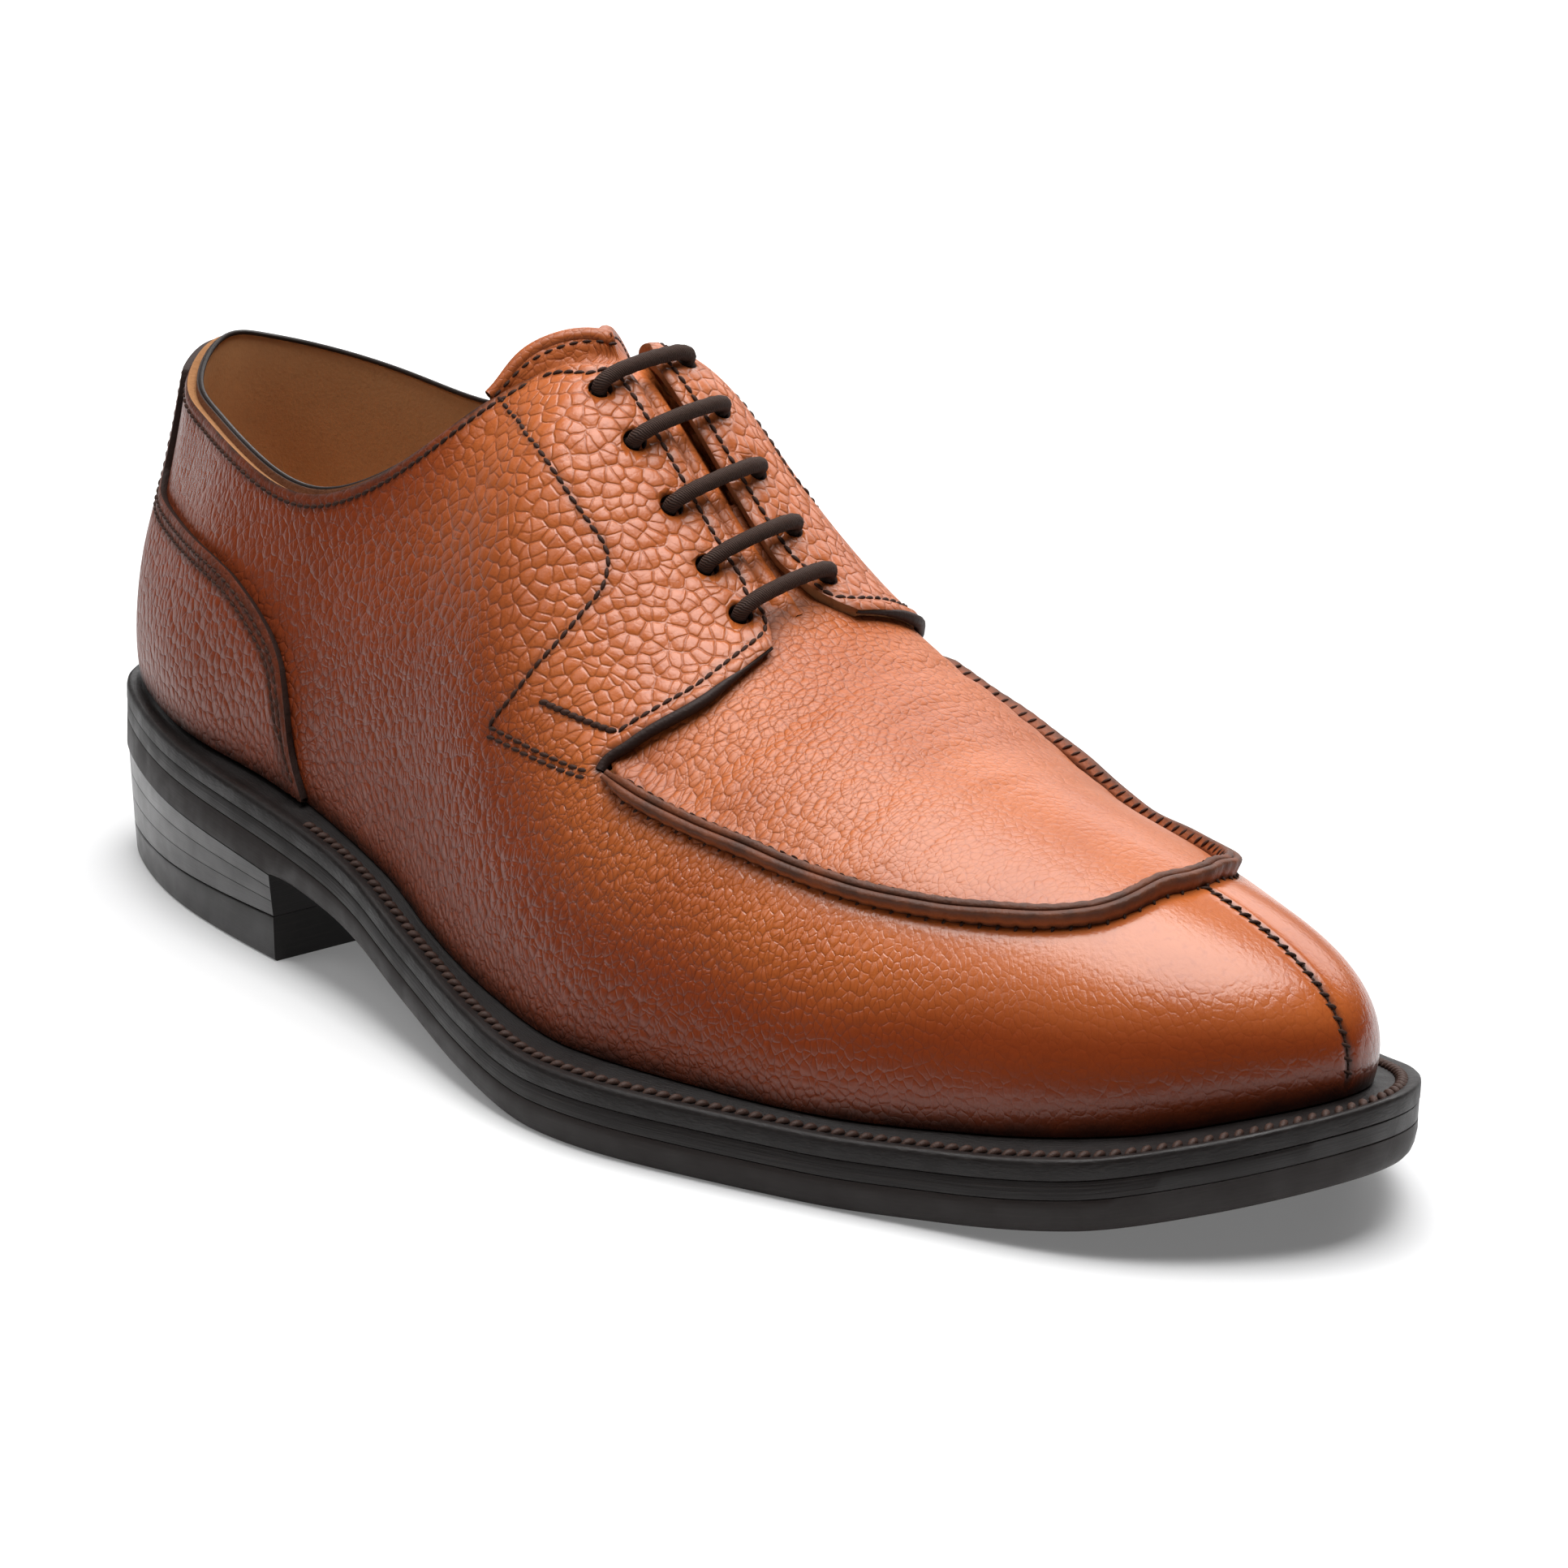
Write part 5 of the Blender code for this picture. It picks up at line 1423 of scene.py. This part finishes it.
bottom, seat = joint(0.3), below(12.5)
stack = [(2.0, joint(0.2)), (1.55, bottom), (1.4, joint(0.55))]
for share in (0.36, 0.68):
    for shift, inset in ((-0.016, 0.0), (-0.006, 0.03), (0.0, 0.14), (0.006, 0.03), (0.016, 0.0)):
        w = share + shift
        stack.append((1.4 - 1.1 * w + inset, lambda x, w=w: bottom(x) + (seat(x) - bottom(x)) * w))
stack += [(0.3, below(12.6)), (0.5, below(12.38)), (1.1, below(12.32))]
top_piece = ((2.4, flat_at(0.0)), (1.95, flat_at(0.3)), (1.85, flat_at(0.8)), (1.45, joint(-0.2)),
             (1.6, joint(0.05)), (2.0, joint(0.12)))
plate("heel_lifts", "lip", stack, heel_edge, "heel_leather", "heel_stack", BREAST)
plate("heel_rubber", "lip", top_piece, heel_rubber, "sole_rubber", "heel_top_piece", BREAST)

# %% [markdown]
# ## Stitches
# A stitch is one small bead of thread with its ends pulled into the leather. One bead is modelled from
# a sphere, then laid along each line in even steps. All stitches of one thread are joined at once.

# %% One bead of thread
bpy.ops.object.select_all(action="DESELECT")
bpy.ops.mesh.primitive_uv_sphere_add(segments=8, ring_count=6, radius=0.5)
bead_form = bpy.context.object
only(bead_form)
bpy.ops.object.mode_set(mode="EDIT")
bpy.ops.mesh.select_all(action="SELECT")
bpy.ops.transform.rotate(value=math.radians(90), orient_axis="Y", center_override=(0, 0, 0))
bpy.ops.object.mode_set(mode="OBJECT")
bead_points = np.array([v.co for v in bead_form.data.vertices])
bead_points[:, 2] -= 0.9 * bead_points[:, 0] ** 2
bead_faces = [np.array(p.vertices) for p in bead_form.data.polygons]
bpy.data.objects.remove(bead_form)
print("bead of thread:", len(bead_points), "points")

# %% Laying stitches along a line
sewn = {"upper": [], "welt": []}


def sew(kind, line, outs, pitch, long, thick, turn=0.0, lift=0.0):
    """Lays stitches along a line of points: pitch, length and thickness in mm, turn in degrees."""
    at = even(line, pitch)
    at = (at[1:] + at[:-1]) / 2
    p, n = pick(line, at), unit(pick(outs, at))
    x = unit(pick(line, np.minimum(at + 0.5, len(line) - 1)) - pick(line, np.maximum(at - 0.5, 0)))
    y = np.cross(n, x)
    q = math.radians(turn)
    x, y = math.cos(q) * x + math.sin(q) * y, math.cos(q) * y - math.sin(q) * x
    size = bead_points * (long, thick, thick)
    made = ((p + lift * n)[:, None] + size[None, :, :1] * x[:, None] + size[None, :, 1:2] * y[:, None]
            + size[None, :, 2:] * n[:, None])
    sewn[kind].append(made.reshape(-1, 3))


def settle(line, outs, grid, pressed):
    """Moves a line to the pressed surface, by the relief at the four nearest points of the plain grid."""
    spots, pressed = grid.reshape(-1, 3), pressed.ravel()
    tree = KDTree(len(spots))
    for i, p in enumerate(spots):
        tree.insert(p, i)
    tree.balance()
    shift = []
    for p in line:
        found = tree.find_n(p, 4)
        weights = np.array([1 / (f[2] + 0.05) for f in found])
        shift.append((pressed[[f[1] for f in found]] * weights).sum() / weights.sum())
    return line + np.array(shift)[:, None] * outs


# %% Facings, collar and counter
for line, outs in edge_stitch + facing_stitch + corner_stitch:
    sew("upper", settle(line, outs, side_p, relief), outs, 2.15, 2.1, 0.78, 7.0, 0.06)
for line, outs in (corner_stitch[2], corner_stitch[5]):
    sew("upper", settle(line, outs, side_p, relief), outs, 1.6, 2.0, 1.1, 20.0, 0.15)
for inset in COUNTER_ROWS:
    past = brink_away - inset
    good = past[0] > 0
    u = counter_u[good] % ROWS
    t = np.array([np.interp(0.0, -past[-20:, k], counter_t[-20:, k]) for k in np.flatnonzero(good)])
    line, outs = section(u, t), normal(u, t)
    at = even(line, LINE_STEP)
    line, outs = pick(line, at), pick(outs, at)
    sew("upper", settle(line, outs, counter_p, lift_counter), outs, 2.0, 1.9, 0.62, 7.0, 0.08)
print("stitches so far:", sum(len(p) for p in sewn["upper"]) // len(bead_points))

# %% Standing seam, split toe and tongue
on_seam = slice(6, -6)
outer_foot = lip_p - 1.75 * lip_side - 0.1 * lip_n
sew("upper", outer_foot[on_seam], lip_n[on_seam], 2.9, 1.3, 0.6, 70.0)
inner_face = lip_p + 1.55 * lip_side + 1.1 * lip_n
sew("upper", inner_face[on_seam], lip_side[on_seam], 2.2, 2.0, 0.55, 65.0, 0.05)
split_line = settle(*split_stitch, side_p, relief)
sew("upper", split_line + np.array((0.0, -0.35, 0.0)), split_stitch[1], 2.1, 2.3, 0.6, 62.0, 0.42)
sew("upper", split_line, split_stitch[1], 0.8, 1.2, 0.55)
sew("upper", tongue_p[-7], tongue_n[-7], 2.3, 1.8, 0.6)
print("upper stitches:", sum(len(p) for p in sewn["upper"]) // len(bead_points))

# %% Welt
channel = ledge("lip", np.minimum(3.0, 0.52 * welt_wide), -0.2)
up = np.tile((0.0, 0.0, 1.0), (len(channel), 1))
front = np.flatnonzero(channel[:, 0] > 92)
on_front = slice(front[0], front[-1])
sew("welt", channel[on_front], up[on_front], 2.4, 2.7, 1.45, 55.0, 0.2)
print("welt stitches:", sum(len(p) for p in sewn["welt"]) // len(bead_points))

# %% All thread in one piece a kind
for kind, material in (("upper", thread), ("welt", welt_thread)):
    points = np.vstack(sewn[kind])
    count = len(points) // len(bead_points)
    faces = [tuple(f + i * len(bead_points)) for i in range(count) for f in bead_faces]
    mesh = bpy.data.meshes.new(kind + "_stitches")
    mesh.from_pydata(metres(points).tolist(), [], faces)
    stitches = bpy.data.objects.new(kind + "_stitches", mesh)
    bpy.context.collection.objects.link(stitches)
    dress(stitches, material)
    finish_piece(stitches, "lace_cotton")

# %% [markdown]
# ## Floor
# The shoe stands on plain white paper that runs on into a white background. The paper glows a little
# with distance, so no horizon shows. A shiny side would mirror all that white and turn milky. In the
# photo the sides stay clear, as if they mirrored a dark room, so mirrored rays see white paper only
# close to the shoe and dark beyond it.

# %% Floor
bpy.ops.object.select_all(action="DESELECT")
bpy.ops.mesh.primitive_plane_add(size=10.0)
floor = bpy.context.object
floor.name = "floor"
bpy.ops.object.mode_set(mode="EDIT")
bpy.ops.mesh.select_all(action="SELECT")
bpy.ops.transform.translate(value=(-1.2, 1.2, 0.0))
bpy.ops.object.mode_set(mode="OBJECT")
print("floor:", [round(v, 1) for v in floor.dimensions], "m")

# %% Paper
PAPER, PAPER_COOL = (0.62, 0.62, 0.62, 1.0), (0.6, 0.6, 0.605, 1.0)
GLOW_NEAR, GLOW_FAR, DARK_ROOM = (0.16, 0.16, 0.16, 1.0), (0.9, 0.9, 0.9, 1.0), (0.02, 0.02, 0.02, 1.0)
paper, tree, shader = new_material("white_paper")
place = object_place(tree)
ray = add_node(tree, "ShaderNodeLightPath").outputs
ahead = calc(tree, "MULTIPLY", add_node(tree, "ShaderNodeSeparateXYZ", {0: place}).outputs["Y"], -1.0)
room = calc(tree, "MULTIPLY", ramp(tree, ahead, 0.07, 0.14), ray["Is Glossy Ray"])
white = blend(tree, ramp(tree, noise(tree, place, 3.0, 2.0), 0.3, 0.7), PAPER_COOL, PAPER)
tree.links.new(blend(tree, room, white, DARK_ROOM), shader["Base Color"])
far = vector_calc(tree, "DOT_PRODUCT", {0: place, 1: (-0.67, 0.74, 0.0)}, "Value")
reach = vector_calc(tree, "LENGTH", {0: place}, "Value")
plain = calc(tree, "MULTIPLY", ramp(tree, reach, 0.3, 0.9), ray["Is Camera Ray"])
glow = blend(tree, calc(tree, "MAXIMUM", ramp(tree, far, 0.3, 1.5), plain), GLOW_NEAR, GLOW_FAR)
tree.links.new(blend(tree, room, glow, DARK_ROOM), shader["Emission Color"])
shader["Roughness"].default_value = 0.7
shader["Emission Strength"].default_value = 1.0
dress(floor, paper)
print("floor of", paper.name)

# %% [markdown]
# ## Lights
# One large soft light overhead makes the tops of the panels bright, a wall of light behind draws the
# edges, and two weak ones in front and at the left keep the sides and the heel from going black.


# %% Lights
def soft_light(name, place, aim, wide, deep, power):
    light = bpy.data.lights.new(name, "AREA")
    light.shape = "RECTANGLE"
    light.size, light.size_y, light.energy = wide, deep, power
    lamp = bpy.data.objects.new(name, light)
    bpy.context.collection.objects.link(lamp)
    z = unit(np.array(place, float) - np.array(aim, float))
    lamp.location = place
    lamp.rotation_euler = turned(z, (0.0, 1.0, 0.0) if abs(z[2]) > 0.9 else (0.0, 0.0, 1.0)).to_euler()


soft_light("overhead", (0.05, 0.05, 1.2), (0.0, 0.0, 0.05), 1.05, 0.95, 27.0)
soft_light("back_wall", (-0.75, 1.3, 0.95), (0.0, 0.0, 0.05), 2.2, 1.0, 18.0)
soft_light("front_box", (-0.45, -0.78, 1.05), (0.05, 0.0, 0.05), 0.8, 0.6, 3.0)
soft_light("left_wall", (-1.4, 0.1, 0.5), (0.0, 0.0, 0.06), 0.4, 0.9, 0.8)

# %% White background
world = bpy.data.worlds.new("studio")
bpy.context.scene.world = world
world.use_nodes = True
tree = world.node_tree
seen = add_node(tree, "ShaderNodeLightPath").outputs["Is Camera Ray"]
background = tree.nodes["Background"].inputs
tree.links.new(calc(tree, "ADD", calc(tree, "MULTIPLY", seen, 0.97), 0.03), background["Strength"])
background["Color"].default_value = (1.0, 1.0, 1.0, 1.0)
bpy.context.scene.view_settings.view_transform = "Standard"
print("background:", world.name)

# %% [markdown]
# ## Camera
# The camera stands where the photo was taken from: beside the toe on the outer side, a little above,
# with a slight roll. It is turned to the middle of the one shoe, and its lens lets the shoe fill the
# frame.

# %% Camera
AROUND, UP, ROLL, AWAY = math.radians(44.0), math.radians(16.22), math.radians(2.23), 0.78
TARGET, LENS = np.array((0.00725, 0.02082, 0.04032)), 102.0
back = np.array((math.cos(UP) * math.sin(AROUND), -math.cos(UP) * math.cos(AROUND), math.sin(UP)))
level = np.array((math.cos(AROUND), math.sin(AROUND), 0.0))
above = np.cross(back, level)
right = math.cos(ROLL) * level + math.sin(ROLL) * above
above = math.cos(ROLL) * above - math.sin(ROLL) * level
view = bpy.data.cameras.new("camera")
view.lens = LENS
view.sensor_width = 36.0
camera = bpy.data.objects.new("camera", view)
bpy.context.collection.objects.link(camera)
spot = TARGET + AWAY * back
camera.matrix_world = Matrix.Translation(spot) @ Matrix((right, above, back)).transposed().to_4x4()
bpy.context.scene.camera = camera
print("camera at", spot.round(3), "m, lens", view.lens, "mm")
